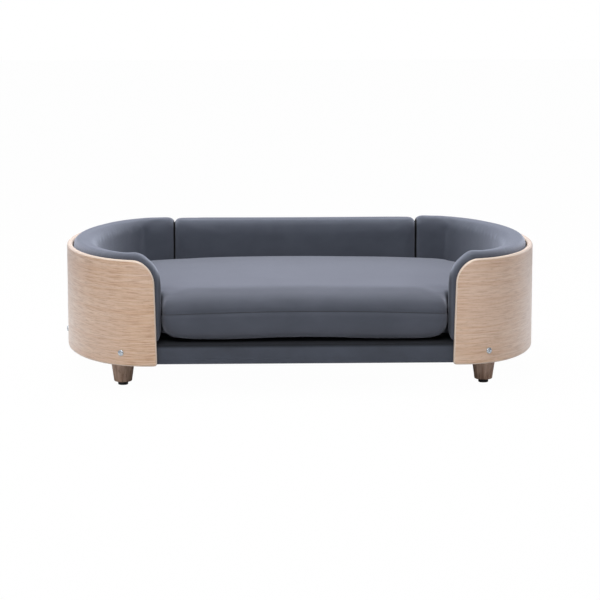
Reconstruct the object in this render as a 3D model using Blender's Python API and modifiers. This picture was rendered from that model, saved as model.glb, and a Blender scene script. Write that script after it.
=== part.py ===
"""A dog sofa bed: a bent plywood shell round an upholstered base on turned legs,
lined with three padded bolsters, with a loose seat cushion in a zipped cover.

Metres, +Z up, the front faces -Y. The origin is on the floor under the middle of the bed.
"""

import math

import bmesh
import bpy
from mathutils import Vector

# Overall plan: two straight stretches joined by half-elliptical ends.
BED_WIDTH = 1.000
BED_DEPTH = 0.650
END_REACH = 0.176
GAP = 0.0003

# Bent plywood shell, in three panels joined by glued battens.
PLY = 0.012
SHELL_BOTTOM = 0.055
SHELL_HEIGHT = 0.218
SHELL_TOP_CORNER = 0.050
SHELL_BOTTOM_CORNER = 0.007
SHELL_EDGE_EASE = 0.0015
FRONT_RETURN = 0.0215
BACK_RETURN = 0.050
BATTEN_WIDTH = 0.060
BATTEN_END_GAP = 0.014

# Bolsters: a board behind foam, in a fabric cover, held on by a hook-and-loop strip.
BOLSTER_STANDOFF = 0.0040
BOLSTER_THICKNESS = 0.0465
BOLSTER_ROUNDING = 0.0155
BOLSTER_END_SOFTNESS = 0.8
BOLSTER_ABOVE_SHELL = 0.017
BOLSTER_PAST_EDGE = 0.011
BOARD_THICKNESS = 0.003
FABRIC = 0.0012
FOAM_EASE = 0.0010
GRIP_HEIGHT = 0.050
GRIP_LEVEL = 0.180
GRIP_END_GAP = 0.010

# Upholstered base.
BASE_CLEARANCE = 0.0010
BASE_RISE = 0.0025
BASE_HEIGHT = 0.0395
BASE_TOP_ROUNDING = 0.004
RIM_WIDTH = 0.020
DECK_THICKNESS = 0.006
BASE_FOAM_THICKNESS = 0.0027
BASE_FOAM_SETBACK = 0.005
DUST_COVER_THICKNESS = 0.0006
DUST_COVER_SETBACK = 0.010
CENTRE_RAIL_WIDTH = 0.030
LEG_BLOCK_SIZE = 0.055
LEG_BLOCK_STANDOFF = 0.0043

# Legs, their hanger bolts and nail-on glides.
LEG_TURN = math.radians(36.9)
LEG_TOP_RADIUS = 0.0255
LEG_BOTTOM_RADIUS = 0.0188
LEG_BOTTOM_EASE = 0.003
LEG_HOLE_CLEARANCE = 0.0015
LEG_TO_LIP = 0.0028
GLIDE_RADIUS = 0.0105
GLIDE_HEIGHT = 0.007
GLIDE_EASE = 0.002
NAIL_RADIUS = 0.0012
NAIL_LENGTH = 0.014
STUD_RADIUS = 0.0040
STUD_IN_LEG = 0.026
STUD_IN_BLOCK = 0.018

# Machine screws that hold the shell to the base, in threaded inserts.
SHELL_BOLT_LEVEL = 0.082
SHELL_BOLT_RADIUS = 0.0030
SHELL_BOLT_LENGTH = 0.028
SHELL_BOLT_HEAD_RADIUS = 0.0062
SHELL_BOLT_HEAD_HEIGHT = 0.0038
CORNER_BOLT_TURN = math.radians(17.35)
INSERT_RADIUS = 0.0048
INSERT_LENGTH = 0.013
INSERT_RECESS = 0.0015
THREAD_CLEARANCE = 0.0003
HOLE_CLEARANCE = 0.0003

# Seat cushion.
CUSHION_SIDE_GAP = 0.0025
CUSHION_SEAM = 0.158
SEAM_BAND = 0.003
CUSHION_TOP = 0.2215
CUSHION_CORNER = 0.030
CUSHION_BOXING_INSET = 0.009
ZIP_LENGTH = 0.500
ZIP_TAPE_HEIGHT = 0.024
ZIP_LEVEL = 0.126
ZIP_SLIT_MARGIN = 0.001
ZIP_TEETH_HEIGHT = 0.006
ZIP_TEETH_PROUD = 0.0012
SLIDER_LENGTH = 0.012
SLIDER_WIDTH = 0.0105
SLIDER_PROUD = 0.0035

# Facets.
END_STEPS = 24
STEP_SAMPLES = 30
CORNER_STEPS = 5
CUSHION_CORNER_STEPS = 3
LEG_SIDES = 20
ROUND_SIDES = 12
SHORTEST_FACET = 0.004
SLIVER = 0.0005

# Sizes that follow.
STRAIGHT_HALF = BED_WIDTH / 2 - END_REACH
SHELL_TOP = SHELL_BOTTOM + SHELL_HEIGHT
SHELL_EDGE = STRAIGHT_HALF - FRONT_RETURN
BACK_JOINT = STRAIGHT_HALF - BACK_RETURN
BASE_BOTTOM = SHELL_BOTTOM + BASE_RISE
BASE_TOP = BASE_BOTTOM + BASE_HEIGHT
BOLSTER_BACK = PLY + BOLSTER_STANDOFF
BOLSTER_FACE = BOLSTER_BACK + BOLSTER_THICKNESS
BOLSTER_BOTTOM = BASE_TOP + GAP
BOLSTER_TOP = SHELL_TOP + BOLSTER_ABOVE_SHELL
BOLSTER_TIP = SHELL_EDGE - BOLSTER_PAST_EDGE
BOLSTER_CORNER = SHELL_TOP_CORNER + (BOLSTER_ABOVE_SHELL + BOLSTER_PAST_EDGE) / 2
FOAM_SKIN = FABRIC + FOAM_EASE
BOARD_MARGIN = BOLSTER_ROUNDING + 2 * FABRIC + GAP
COVER_OUTSIDE = PLY + BASE_CLEARANCE
RIM_OUTSIDE = COVER_OUTSIDE + FABRIC + GAP
RIM_INSIDE = RIM_OUTSIDE + RIM_WIDTH
LEG_INSET = RIM_INSIDE + LEG_BLOCK_STANDOFF + LEG_BLOCK_SIZE / 2
LIP_INSIDE = LEG_INSET - LEG_TOP_RADIUS - LEG_TO_LIP
FRAME_BOTTOM = BASE_BOTTOM + FABRIC + GAP
RIM_TOP = BASE_TOP - FABRIC - 2 * GAP - BASE_FOAM_THICKNESS
DECK_BOTTOM = RIM_TOP - DECK_THICKNESS
RAIL_TOP = DECK_BOTTOM - GAP
CUSHION_BOTTOM = BASE_TOP + GAP
CUSHION_SIDE = BOLSTER_FACE + CUSHION_SIDE_GAP
CUSHION_FRONT = BED_DEPTH / 2 - COVER_OUTSIDE
ZIP_FACE = BED_DEPTH / 2 - CUSHION_SIDE - CUSHION_BOXING_INSET
LEG_TOP = FRAME_BOTTOM - GAP
LEG_BOTTOM = GLIDE_HEIGHT + GAP

SIDES = {"left": -1, "right": 1}
ENDS = {"front": 1, "rear": -1}

# Base colour, roughness and metallic value of each finish.
FINISHES = {
    "oak_veneer": ((0.56, 0.40, 0.27), 0.55, 0.0),
    "leg_oak": ((0.27, 0.17, 0.11), 0.55, 0.0),
    "board": ((0.42, 0.30, 0.19), 0.75, 0.0),
    "softwood": ((0.62, 0.47, 0.30), 0.75, 0.0),
    "grey_velvet": ((0.070, 0.078, 0.098), 0.85, 0.0),
    "foam": ((0.80, 0.76, 0.62), 0.95, 0.0),
    "lining": ((0.02, 0.02, 0.02), 0.95, 0.0),
    "grip_tape": ((0.03, 0.03, 0.035), 0.90, 0.0),
    "bright_steel": ((0.72, 0.73, 0.75), 0.25, 1.0),
    "black_nylon": ((0.012, 0.012, 0.012), 0.45, 0.0),
    "zip_nylon": ((0.05, 0.055, 0.07), 0.6, 0.0),
}


# Objects, materials and modifiers.


def clear_scene():
    for obj in list(bpy.data.objects):
        bpy.data.objects.remove(obj)


def collection(name):
    made = bpy.data.collections.new(name)
    bpy.context.scene.collection.children.link(made)
    return made


def material(name):
    made = bpy.data.materials.get(name)
    if made:
        return made
    colour, roughness, metallic = FINISHES[name]
    made = bpy.data.materials.new(name)
    made.use_nodes = True
    shader = made.node_tree.nodes["Principled BSDF"]
    shader.inputs["Base Color"].default_value = (*colour, 1)
    shader.inputs["Roughness"].default_value = roughness
    shader.inputs["Metallic"].default_value = metallic
    return made


def add_object(name, data, finish):
    """A new part, or a cutter where it has no finish."""
    obj = bpy.data.objects.new(name, data)
    if finish:
        PARTS.objects.link(obj)
        data.materials.append(material(finish))
    else:
        CUTTERS.objects.link(obj)
        obj.hide_render = True
        obj.display_type = "WIRE"
    return obj


def mesh_from(bm, name):
    mesh = bpy.data.meshes.new(name)
    bm.to_mesh(mesh)
    bm.free()
    return mesh


def modifier(obj, kind, **settings):
    made = obj.modifiers.new(kind.title(), kind)
    for key, value in settings.items():
        setattr(made, key, value)
    return made


def bevel(obj, width, **settings):
    """Rounds the object's square edges, and leaves the shallow ones between its facets."""
    modifier(
        obj, "BEVEL", width=width, segments=1, limit_method="ANGLE",
        angle_limit=math.radians(60), use_clamp_overlap=False, **settings,
    )


def solidify(obj, thickness, **settings):
    modifier(obj, "SOLIDIFY", thickness=thickness, offset=-1, use_even_offset=True, **settings)


def cut(obj, cutter):
    modifier(obj, "BOOLEAN", operation="DIFFERENCE", object=cutter, solver="EXACT")


def evaluated_mesh(obj):
    bpy.context.view_layer.update()
    graph = bpy.context.evaluated_depsgraph_get()
    return bpy.data.meshes.new_from_object(obj.evaluated_get(graph))


def as_mesh(curve, finish):
    """Replaces a flat curve by a mesh with welded caps, so that a Boolean can cut it."""
    bm = bmesh.new()
    bm.from_mesh(evaluated_mesh(curve))
    bmesh.ops.remove_doubles(bm, verts=bm.verts, dist=1e-6)
    name, place = curve.name, curve.matrix_world.copy()
    bpy.data.objects.remove(curve)
    made = add_object(name, mesh_from(bm, name), finish)
    made.matrix_world = place
    return made


# The plan curve, from the middle of the front round one end to the middle of the back.


def ellipse_point(turn):
    """A point of the right-hand end, and its outward normal, for turn from 0 (front) to pi (back)."""
    depth = BED_DEPTH / 2
    point = Vector((STRAIGHT_HALF + END_REACH * math.sin(turn), -depth * math.cos(turn)))
    normal = Vector((math.sin(turn) / END_REACH, -math.cos(turn) / depth)).normalized()
    return point, normal


def end_table():
    """Length of the right-hand end from its front, at evenly spaced turns."""
    samples = END_STEPS * STEP_SAMPLES
    turns = [math.pi * i / samples for i in range(samples + 1)]
    table = [(0.0, 0.0)]
    for before, turn in zip(turns, turns[1:]):
        step = (ellipse_point(turn)[0] - ellipse_point(before)[0]).length
        table.append((table[-1][0] + step, turn))
    return table


def turn_at(length):
    """The turn at which the end has this length from its front."""
    for (low, turn_low), (high, turn_high) in zip(END_TABLE, END_TABLE[1:]):
        if length <= high:
            return turn_low + (turn_high - turn_low) * (length - low) / (high - low)
    return math.pi


def plan_point(run, inset=0, side=1):
    """A point at this run along the plan curve, set in from the shell's outer face."""
    if run <= STRAIGHT_HALF:
        point, normal = Vector((run, -BED_DEPTH / 2)), Vector((0, -1))
    elif run < STRAIGHT_HALF + END_LENGTH:
        point, normal = ellipse_point(turn_at(run - STRAIGHT_HALF))
    else:
        point, normal = Vector((HALF_RUN - run, BED_DEPTH / 2)), Vector((0, 1))
    point = point - normal * inset
    return Vector((side * point.x, point.y))


def corner_steps(radius):
    """Distances from an edge at which a rounded corner of this radius has its points."""
    return [radius * (1 - math.cos(math.pi / 2 * i / CORNER_STEPS)) for i in range(CORNER_STEPS + 1)]


def corner_drop(distance, radius):
    """How far a rounded corner has dropped at this distance from its edge."""
    short = max(0.0, radius - distance)
    return radius - math.sqrt(max(0.0, radius**2 - short**2))


def stations(start, stop, corner=0.0):
    """Runs from start to stop: the points of a rounded corner at the start, then those of the end."""
    rounded = {start + step for step in corner_steps(corner)}
    bend = {STRAIGHT_HALF + length for length, turn in END_TABLE[::STEP_SAMPLES]}
    clear = start + corner + SHORTEST_FACET
    along = {run for run in bend if clear < run < stop - SHORTEST_FACET}
    return sorted(rounded | along | {stop})


def trimmed(runs, margin):
    """The same runs, shortened by a margin at both ends."""
    start, stop = runs[0] + margin, runs[-1] - margin
    inner = [run for run in runs if start + SLIVER < run < stop - SLIVER]
    return [start, *inner, stop]


def side_line(side, runs, inset):
    return [plan_point(run, inset, side) for run in runs]


def back_line(half, inset):
    return [Vector((half, BED_DEPTH / 2 - inset)), Vector((-half, BED_DEPTH / 2 - inset))]


def full_outline(inset):
    """The whole plan, set in from the shell's outer face."""
    runs = [STRAIGHT_HALF + length for length, turn in END_TABLE[::STEP_SAMPLES]]
    right = [plan_point(run, inset) for run in runs]
    return right + [Vector((-point.x, point.y)) for point in reversed(right)]


# Shapes.


def bridge(bm, rings, closed=True):
    """Joins each ring of points to the next with quads, facing outwards when the rings rise."""
    for low, high in zip(rings, rings[1:]):
        for i in range(len(low) if closed else len(low) - 1):
            j = (i + 1) % len(low)
            bm.faces.new((low[i], low[j], high[j], high[i]))


def wall(name, plan, thickness, low, high, finish, top_corner=0, low_corner=0):
    """A strip that stands on a plan line, thickened towards the middle of the bed.
    Its rounded corners are at the line's first point."""
    bm = bmesh.new()
    foot, head, along = [], [], 0.0
    for before, point in zip([plan[0], *plan], plan):
        along += (point - before).length
        foot.append(bm.verts.new((*point, low + corner_drop(along, low_corner))))
        head.append(bm.verts.new((*point, high - corner_drop(along, top_corner))))
    bridge(bm, [foot, head], closed=False)
    bm.normal_update()
    bm.faces.ensure_lookup_table()
    if bm.faces[0].normal.xy.dot(plan[0]) < 0:
        bmesh.ops.reverse_faces(bm, faces=bm.faces[:])
    obj = add_object(name, mesh_from(bm, name), finish)
    solidify(obj, thickness)
    return obj


def block(name, centre, size, finish):
    bm = bmesh.new()
    bmesh.ops.create_cube(bm, size=1)
    bmesh.ops.scale(bm, vec=size, verts=bm.verts)
    obj = add_object(name, mesh_from(bm, name), finish)
    obj.location = centre
    return obj


def rod(name, centre, axis, radius, length, finish, sides=ROUND_SIDES):
    bm = bmesh.new()
    bmesh.ops.create_cone(
        bm, cap_ends=True, segments=sides, radius1=radius, radius2=radius, depth=length
    )
    obj = add_object(name, mesh_from(bm, name), finish)
    point_along(obj, axis)
    obj.location = centre
    return obj


def point_along(obj, axis):
    """Turns the object so that its own Z lies along the axis."""
    obj.rotation_mode = "QUATERNION"
    obj.rotation_quaternion = Vector((0, 0, 1)).rotation_difference(Vector(axis))


def turned(name, profile, finish, sides):
    """A turned shape. The profile runs down its outer side, and is closed unless it ends on the axis."""
    bm = bmesh.new()
    verts = [bm.verts.new((radius, 0, z)) for radius, z in profile]
    for pair in zip(verts, verts[1:]):
        bm.edges.new(pair)
    if profile[0][0] > 0 and profile[-1][0] > 0:
        bm.edges.new((verts[-1], verts[0]))
    obj = add_object(name, mesh_from(bm, name), finish)
    modifier(
        obj, "SCREW", steps=sides, render_steps=sides, use_merge_vertices=True,
        merge_threshold=0.00001, use_smooth_shade=True,
    )
    return obj


def flat(name, loops, low, thickness, finish):
    """A flat board: closed outlines, the inner ones being holes, filled and given a thickness."""
    curve = bpy.data.curves.new(name, "CURVE")
    curve.dimensions = "2D"
    curve.fill_mode = "BOTH"
    curve.extrude = thickness / 2
    for loop in loops:
        spline = curve.splines.new("POLY")
        spline.points.add(len(loop) - 1)
        for point, (x, y) in zip(spline.points, loop):
            point.co = (x, y, 0, 1)
        spline.use_cyclic_u = True
    obj = add_object(name, curve, finish)
    obj.location.z = low + thickness / 2
    return obj


def lofted(name, rings, finish, cap_first=True, cap_last=True, closed=True, mirrored=False):
    """A skin through rings of points, from the lowest or first to the last."""
    bm = bmesh.new()
    rings = [[bm.verts.new(point) for point in ring] for ring in rings]
    bridge(bm, rings, closed)
    if cap_last:
        bm.faces.new(rings[-1])
    if cap_first:
        bm.faces.new(rings[0][::-1])
    if mirrored:
        bmesh.ops.reverse_faces(bm, faces=bm.faces[:])
    return add_object(name, mesh_from(bm, name), finish)


def level(outline, z):
    """A plan outline raised to this height."""
    return [(x, y, z) for x, y in outline]


def extruded(name, section, length, finish):
    """A section of (y, z) points, drawn out along X about the object's origin."""
    bm = bmesh.new()
    face = bm.faces.new([bm.verts.new((-length / 2, y, z)) for y, z in section])
    made = bmesh.ops.extrude_face_region(bm, geom=[face])["geom"]
    far = [item for item in made if isinstance(item, bmesh.types.BMVert)]
    bmesh.ops.translate(bm, vec=(length, 0, 0), verts=far)
    bmesh.ops.recalc_face_normals(bm, faces=bm.faces[:])
    return add_object(name, mesh_from(bm, name), finish)


def arc(centre, radius, start, sweep, steps):
    """Points along an arc, from a start angle in degrees through a sweep."""
    angles = [math.radians(start + sweep * i / steps) for i in range(steps + 1)]
    return [(centre[0] + radius * math.cos(a), centre[1] + radius * math.sin(a)) for a in angles]


def circle(centre, radius, sides):
    return arc(centre, radius, 0, 360, sides)[:-1]


# Plywood shell.


def bolt_places():
    """Name, side, point on the shell's outer face and outward direction of each shell bolt."""
    turns = {"front": CORNER_BOLT_TURN, "end": math.pi / 2, "rear": math.pi - CORNER_BOLT_TURN}
    places = []
    for name, side in SIDES.items():
        for place, turn in turns.items():
            point, normal = ellipse_point(turn)
            at = Vector((side * point.x, point.y, SHELL_BOLT_LEVEL))
            places.append((f"{place}_{name}", side, at, Vector((side * normal.x, normal.y, 0))))
    return places


def cut_bolt_holes(obj, side, radius, near, far):
    """Drills the bolt holes of one side, or of both, from near to far behind the outer face."""
    for name, owner, at, outward in bolt_places():
        if side in (owner, None):
            centre = at - outward * (near + far) / 2
            cut(obj, rod(f"{obj.name}_{name}_hole", centre, outward, radius, far - near, None))


def make_shell():
    clear = SHELL_BOLT_RADIUS + HOLE_CLEARANCE
    stop = HALF_RUN - BACK_JOINT - GAP / 2
    for name, side in SIDES.items():
        runs = stations(SHELL_EDGE, stop, SHELL_TOP_CORNER)
        shell = wall(
            f"{name}_shell", side_line(side, runs, 0), PLY, SHELL_BOTTOM, SHELL_TOP, "oak_veneer",
            SHELL_TOP_CORNER, SHELL_BOTTOM_CORNER,
        )
        bevel(shell, SHELL_EDGE_EASE)
        cut_bolt_holes(shell, side, clear, -PLY, 2 * PLY)
        make_batten(name, side)
    panel_line = back_line(BACK_JOINT - GAP / 2, 0)
    panel = wall("back_panel", panel_line, PLY, SHELL_BOTTOM, SHELL_TOP, "oak_veneer")
    bevel(panel, SHELL_EDGE_EASE)


def make_batten(name, side):
    """A thin plywood strip, glued over the joint between the back panel and one end."""
    low, high = BASE_TOP + BATTEN_END_GAP, SHELL_TOP - BATTEN_END_GAP
    thickness = BOLSTER_STANDOFF - 2 * GAP
    centre = (side * BACK_JOINT, BED_DEPTH / 2 - PLY - GAP - thickness / 2, (low + high) / 2)
    block(f"{name}_joint_batten", centre, (BATTEN_WIDTH, thickness, high - low), "board")


# Bolsters.


def bolster_section(back, face, low, high, rounding):
    """Points (inset, z) of a section, from the bottom of its back round its face to the top."""
    return [
        (back, low + rounding),
        (back + rounding, low),
        (face - rounding, low),
        (face, low + rounding),
        (face, high - rounding),
        (face - rounding, high),
        (back + rounding, high),
        (back, high - rounding),
    ]


def bolster_rings(place, runs, back, skin, corner):
    """Sections of a bolster at each run, drawn in towards its two ends."""
    rings = []
    for run in runs:
        from_end = min(run - runs[0], runs[-1] - run)
        shrink = BOLSTER_END_SOFTNESS * corner_drop(from_end, BOLSTER_ROUNDING)
        high = BOLSTER_TOP - skin - corner_drop(run - runs[0], corner)
        section = bolster_section(
            back + shrink, BOLSTER_FACE - skin - shrink, BOLSTER_BOTTOM + skin + shrink, high - shrink,
            BOLSTER_ROUNDING - shrink,
        )
        rings.append([(*place(run, inset), z) for inset, z in section])
    return rings


def make_bolster(name, place, start, stop, corner, mirrored=False):
    """The cover, foam and board of one bolster. place gives the plan point at a run and an inset."""
    ends = {start + step for step in corner_steps(BOLSTER_ROUNDING)}
    ends |= {stop - step for step in corner_steps(BOLSTER_ROUNDING)}
    soft = [run for run in stations(start, stop, corner) if run < stop - BOLSTER_ROUNDING - SHORTEST_FACET]
    runs = sorted(ends | {run for run in soft if run > start + BOLSTER_ROUNDING + SHORTEST_FACET})
    rings = bolster_rings(place, runs, BOLSTER_BACK, 0, corner)
    cover = lofted(f"{name}_bolster_cover", rings, "grey_velvet", closed=False, mirrored=mirrored)
    modifier(cover, "SOLIDIFY", thickness=FABRIC, offset=-1)
    foam_back = BOLSTER_BACK + BOARD_THICKNESS + GAP
    rings = bolster_rings(place, trimmed(runs, FOAM_SKIN), foam_back, FOAM_SKIN, max(0, corner - FOAM_SKIN))
    lofted(f"{name}_bolster_foam", rings, "foam", mirrored=mirrored)
    line = [place(run, BOLSTER_BACK) for run in trimmed(runs, BOARD_MARGIN)]
    low, high = BOLSTER_BOTTOM + BOARD_MARGIN, BOLSTER_TOP - BOARD_MARGIN
    board = f"{name}_bolster_board"
    wall(board, line, BOARD_THICKNESS, low, high, "board", max(0, corner - BOARD_MARGIN))


def make_bolsters():
    grip_start = SHELL_EDGE + SHELL_TOP_CORNER + GRIP_END_GAP
    grip_stop = HALF_RUN - BACK_JOINT - BATTEN_WIDTH / 2 - GRIP_END_GAP
    grip_inset = PLY + GAP
    for name, side in SIDES.items():
        stop = HALF_RUN - BACK_JOINT - GAP / 2
        make_bolster(
            name, lambda run, inset: plan_point(run, inset, side), BOLSTER_TIP, stop, BOLSTER_CORNER,
            mirrored=side < 0,
        )
        make_grip(name, side_line(side, stations(grip_start, grip_stop)[1:], grip_inset))
    half = BACK_JOINT - GAP / 2
    make_bolster("back", lambda run, inset: Vector((-run, BED_DEPTH / 2 - inset)), -half, half, 0)
    make_grip("back", back_line(BACK_JOINT - BATTEN_WIDTH / 2 - GRIP_END_GAP, grip_inset))


def make_grip(name, line):
    """The hook-and-loop strip between the shell and one bolster's board."""
    low = GRIP_LEVEL - GRIP_HEIGHT / 2
    wall(f"{name}_grip_strip", line, BOLSTER_STANDOFF - 2 * GAP, low, low + GRIP_HEIGHT, "grip_tape")


# Base.


def leg_places():
    """Name and plan point of each leg, and the direction in degrees in which it faces outwards."""
    point, normal = ellipse_point(LEG_TURN)
    x, y = point - normal * LEG_INSET
    places = []
    for end, way in ENDS.items():
        for name, side in SIDES.items():
            facing = math.degrees(math.atan2(way * normal.y, side * normal.x))
            places.append((f"{end}_{name}", (side * x, way * y), facing))
    return places


def make_base_frame():
    height = RIM_TOP - FRAME_BOTTOM
    insert_hole = INSERT_RADIUS + HOLE_CLEARANCE
    bends = stations(STRAIGHT_HALF, STRAIGHT_HALF + END_LENGTH)
    for name, side in SIDES.items():
        outer = side_line(side, bends, RIM_OUTSIDE)
        inner = side_line(side, bends, RIM_INSIDE)
        ring = flat(f"{name}_end_rim", [outer + inner[::-1]], FRAME_BOTTOM, height, "softwood")
        rim = as_mesh(ring, "softwood")
        cut_bolt_holes(rim, side, insert_hole, PLY, RIM_INSIDE + PLY)
    for name, way in (("front", -1), ("back", 1)):
        centre = (0, way * (BED_DEPTH / 2 - (RIM_OUTSIDE + RIM_INSIDE) / 2), FRAME_BOTTOM + height / 2)
        block(f"{name}_rail", centre, (2 * (STRAIGHT_HALF - GAP), RIM_WIDTH, height), "softwood")
    rail_height = RAIL_TOP - FRAME_BOTTOM
    reach = BED_DEPTH - 2 * (RIM_INSIDE + GAP)
    rail_centre = (0, 0, FRAME_BOTTOM + rail_height / 2)
    block("centre_rail", rail_centre, (CENTRE_RAIL_WIDTH, reach, rail_height), "softwood")
    bore = STUD_RADIUS + THREAD_CLEARANCE
    for place, at, facing in leg_places():
        square = arc(at, LEG_BLOCK_SIZE / math.sqrt(2), facing + 45, 270, 3)
        loops = [square, circle(at, bore, ROUND_SIDES)]
        flat(f"{place}_leg_block", loops, FRAME_BOTTOM, rail_height, "softwood")
    flat("base_deck", [full_outline(RIM_INSIDE + GAP)], DECK_BOTTOM, DECK_THICKNESS, "board")
    foam_outline = full_outline(RIM_OUTSIDE + BASE_FOAM_SETBACK)
    flat("base_foam", [foam_outline], RIM_TOP + GAP, BASE_FOAM_THICKNESS, "foam")


def make_base_cover():
    """Fabric over the base: its top, its sides, and a lip turned under the rim."""
    rings = [
        level(full_outline(LIP_INSIDE), BASE_BOTTOM),
        level(full_outline(COVER_OUTSIDE), BASE_BOTTOM),
        level(full_outline(COVER_OUTSIDE), BASE_TOP - BASE_TOP_ROUNDING),
        level(full_outline(COVER_OUTSIDE + BASE_TOP_ROUNDING), BASE_TOP),
    ]
    cover = lofted("base_cover", rings, "grey_velvet", cap_first=False)
    solidify(cover, FABRIC)
    cut_bolt_holes(cover, None, SHELL_BOLT_RADIUS + HOLE_CLEARANCE, PLY / 2, RIM_INSIDE)
    clear = LEG_TOP_RADIUS + LEG_HOLE_CLEARANCE
    holes = [circle(at, clear, LEG_SIDES) for place, at, facing in leg_places()]
    loops = [full_outline(COVER_OUTSIDE + DUST_COVER_SETBACK), *holes]
    low = BASE_BOTTOM - GAP - DUST_COVER_THICKNESS
    flat("dust_cover", loops, low, DUST_COVER_THICKNESS, "lining")


# Fasteners between the shell and the base.


def make_shell_bolts():
    head_radius, head = SHELL_BOLT_HEAD_RADIUS, SHELL_BOLT_HEAD_HEIGHT
    bolt_profile = [
        (0, head),
        (head_radius * 0.62, head * 0.86),
        (head_radius * 0.95, head * 0.36),
        (head_radius, GAP),
        (SHELL_BOLT_RADIUS, GAP),
        (SHELL_BOLT_RADIUS, -SHELL_BOLT_LENGTH),
        (0, -SHELL_BOLT_LENGTH),
    ]
    bore = SHELL_BOLT_RADIUS + THREAD_CLEARANCE
    mouth = -RIM_OUTSIDE - INSERT_RECESS
    insert_profile = [
        (INSERT_RADIUS, mouth),
        (INSERT_RADIUS, mouth - INSERT_LENGTH),
        (bore, mouth - INSERT_LENGTH),
        (bore, mouth),
    ]
    for name, side, at, outward in bolt_places():
        for label, profile in (("shell_bolt", bolt_profile), ("threaded_insert", insert_profile)):
            piece = turned(f"{name}_{label}", profile, "bright_steel", ROUND_SIDES)
            point_along(piece, outward)
            piece.location = at


# Legs.


def make_legs():
    bore = STUD_RADIUS + THREAD_CLEARANCE
    bore_end = LEG_TOP - STUD_IN_LEG
    nail_hole = NAIL_RADIUS + THREAD_CLEARANCE
    nail_top = GLIDE_HEIGHT + NAIL_LENGTH
    leg_profile = [
        (0, bore_end),
        (bore, bore_end),
        (bore, LEG_TOP),
        (LEG_TOP_RADIUS, LEG_TOP),
        (LEG_BOTTOM_RADIUS, LEG_BOTTOM + LEG_BOTTOM_EASE),
        (LEG_BOTTOM_RADIUS - LEG_BOTTOM_EASE, LEG_BOTTOM),
        (nail_hole, LEG_BOTTOM),
        (nail_hole, nail_top + GAP),
        (0, nail_top + GAP),
    ]
    glide_profile = [
        (0, nail_top),
        (NAIL_RADIUS, nail_top),
        (NAIL_RADIUS, GLIDE_HEIGHT),
        (GLIDE_RADIUS, GLIDE_HEIGHT),
        (GLIDE_RADIUS, GLIDE_EASE),
        (GLIDE_RADIUS - GLIDE_EASE, 0),
        (0, 0),
    ]
    stud_low, stud_high = bore_end + GAP, FRAME_BOTTOM + STUD_IN_BLOCK
    for place, (x, y), facing in leg_places():
        leg = turned(f"{place}_leg", leg_profile, "leg_oak", LEG_SIDES)
        glide = turned(f"{place}_glide", glide_profile, "black_nylon", LEG_SIDES)
        leg.location = glide.location = (x, y, 0)
        centre = (x, y, (stud_low + stud_high) / 2)
        length = stud_high - stud_low
        rod(f"{place}_hanger_bolt", centre, (0, 0, 1), STUD_RADIUS, length, "bright_steel")


# Seat cushion.


def cushion_outline(inset, scale=1):
    """The cushion's plan, set in from its widest line and then drawn in about its middle:
    a front lobe between the bolsters' tips, and a body that fills the space inside them."""
    half = BOLSTER_TIP - CUSHION_SIDE_GAP - inset
    corner = CUSHION_CORNER - inset
    corner_centre = (half - corner, corner + inset - CUSHION_FRONT)
    tip_centre = (BOLSTER_TIP + BOLSTER_ROUNDING, BOLSTER_FACE - BED_DEPTH / 2 - BOLSTER_ROUNDING)
    tip = BOLSTER_ROUNDING + CUSHION_SIDE_GAP + inset
    bends = [STRAIGHT_HALF + length for length, turn in END_TABLE[:: 2 * STEP_SAMPLES]]
    right = arc(corner_centre, corner, -90, 90, CUSHION_CORNER_STEPS)
    right += arc(tip_centre, tip, 180, -90, CUSHION_CORNER_STEPS)
    right += [tuple(plan_point(run, CUSHION_SIDE + inset)) for run in bends[1:]]
    middle = (BED_DEPTH / 2 - CUSHION_SIDE - CUSHION_FRONT) / 2
    loop = right + [(-x, y) for x, y in reversed(right)]
    return [(x * scale, middle + (y - middle) * scale) for x, y in loop]


def lower_rings(skin):
    """Rings of the cushion below its seam, from the bottom up."""
    boxing = cushion_outline(CUSHION_BOXING_INSET + skin)
    slit = ZIP_TAPE_HEIGHT / 2 + ZIP_SLIT_MARGIN
    return [
        level(cushion_outline(CUSHION_BOXING_INSET + skin, 0.96), CUSHION_BOTTOM + skin),
        level(cushion_outline(CUSHION_BOXING_INSET + skin, 0.98), CUSHION_BOTTOM + 0.004 + skin),
        level(boxing, ZIP_LEVEL - slit),
        level(boxing, ZIP_LEVEL + slit),
        level(cushion_outline(skin), CUSHION_SEAM - SEAM_BAND),
        level(cushion_outline(skin), CUSHION_SEAM - GAP / 2),
    ]


def upper_rings(skin):
    """Rings of the cushion above its seam, from the seam up."""
    top = CUSHION_TOP - skin
    return [
        level(cushion_outline(skin), CUSHION_SEAM + GAP / 2),
        level(cushion_outline(skin), CUSHION_SEAM + SEAM_BAND),
        level(cushion_outline(skin, 0.99), top - 0.038),
        level(cushion_outline(skin, 0.95), top - 0.016),
        level(cushion_outline(skin, 0.88), top - 0.009),
        level(cushion_outline(skin, 0.66), top - 0.003),
        level(cushion_outline(skin, 0.33), top),
    ]


def make_cushion():
    lofted("cushion_foam", lower_rings(FOAM_SKIN)[:-1] + upper_rings(FOAM_SKIN), "foam")
    upper = lofted("cushion_cover_top", upper_rings(0), "grey_velvet", cap_first=False)
    lower = lofted("cushion_cover_base", lower_rings(0), "grey_velvet", cap_last=False)
    solidify(upper, FABRIC)
    solidify(lower, FABRIC)
    slit_size = (ZIP_LENGTH, CUSHION_BOXING_INSET, ZIP_TAPE_HEIGHT)
    cut(lower, block("zip_slit", (0, ZIP_FACE, ZIP_LEVEL), slit_size, None))
    make_zip()


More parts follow.
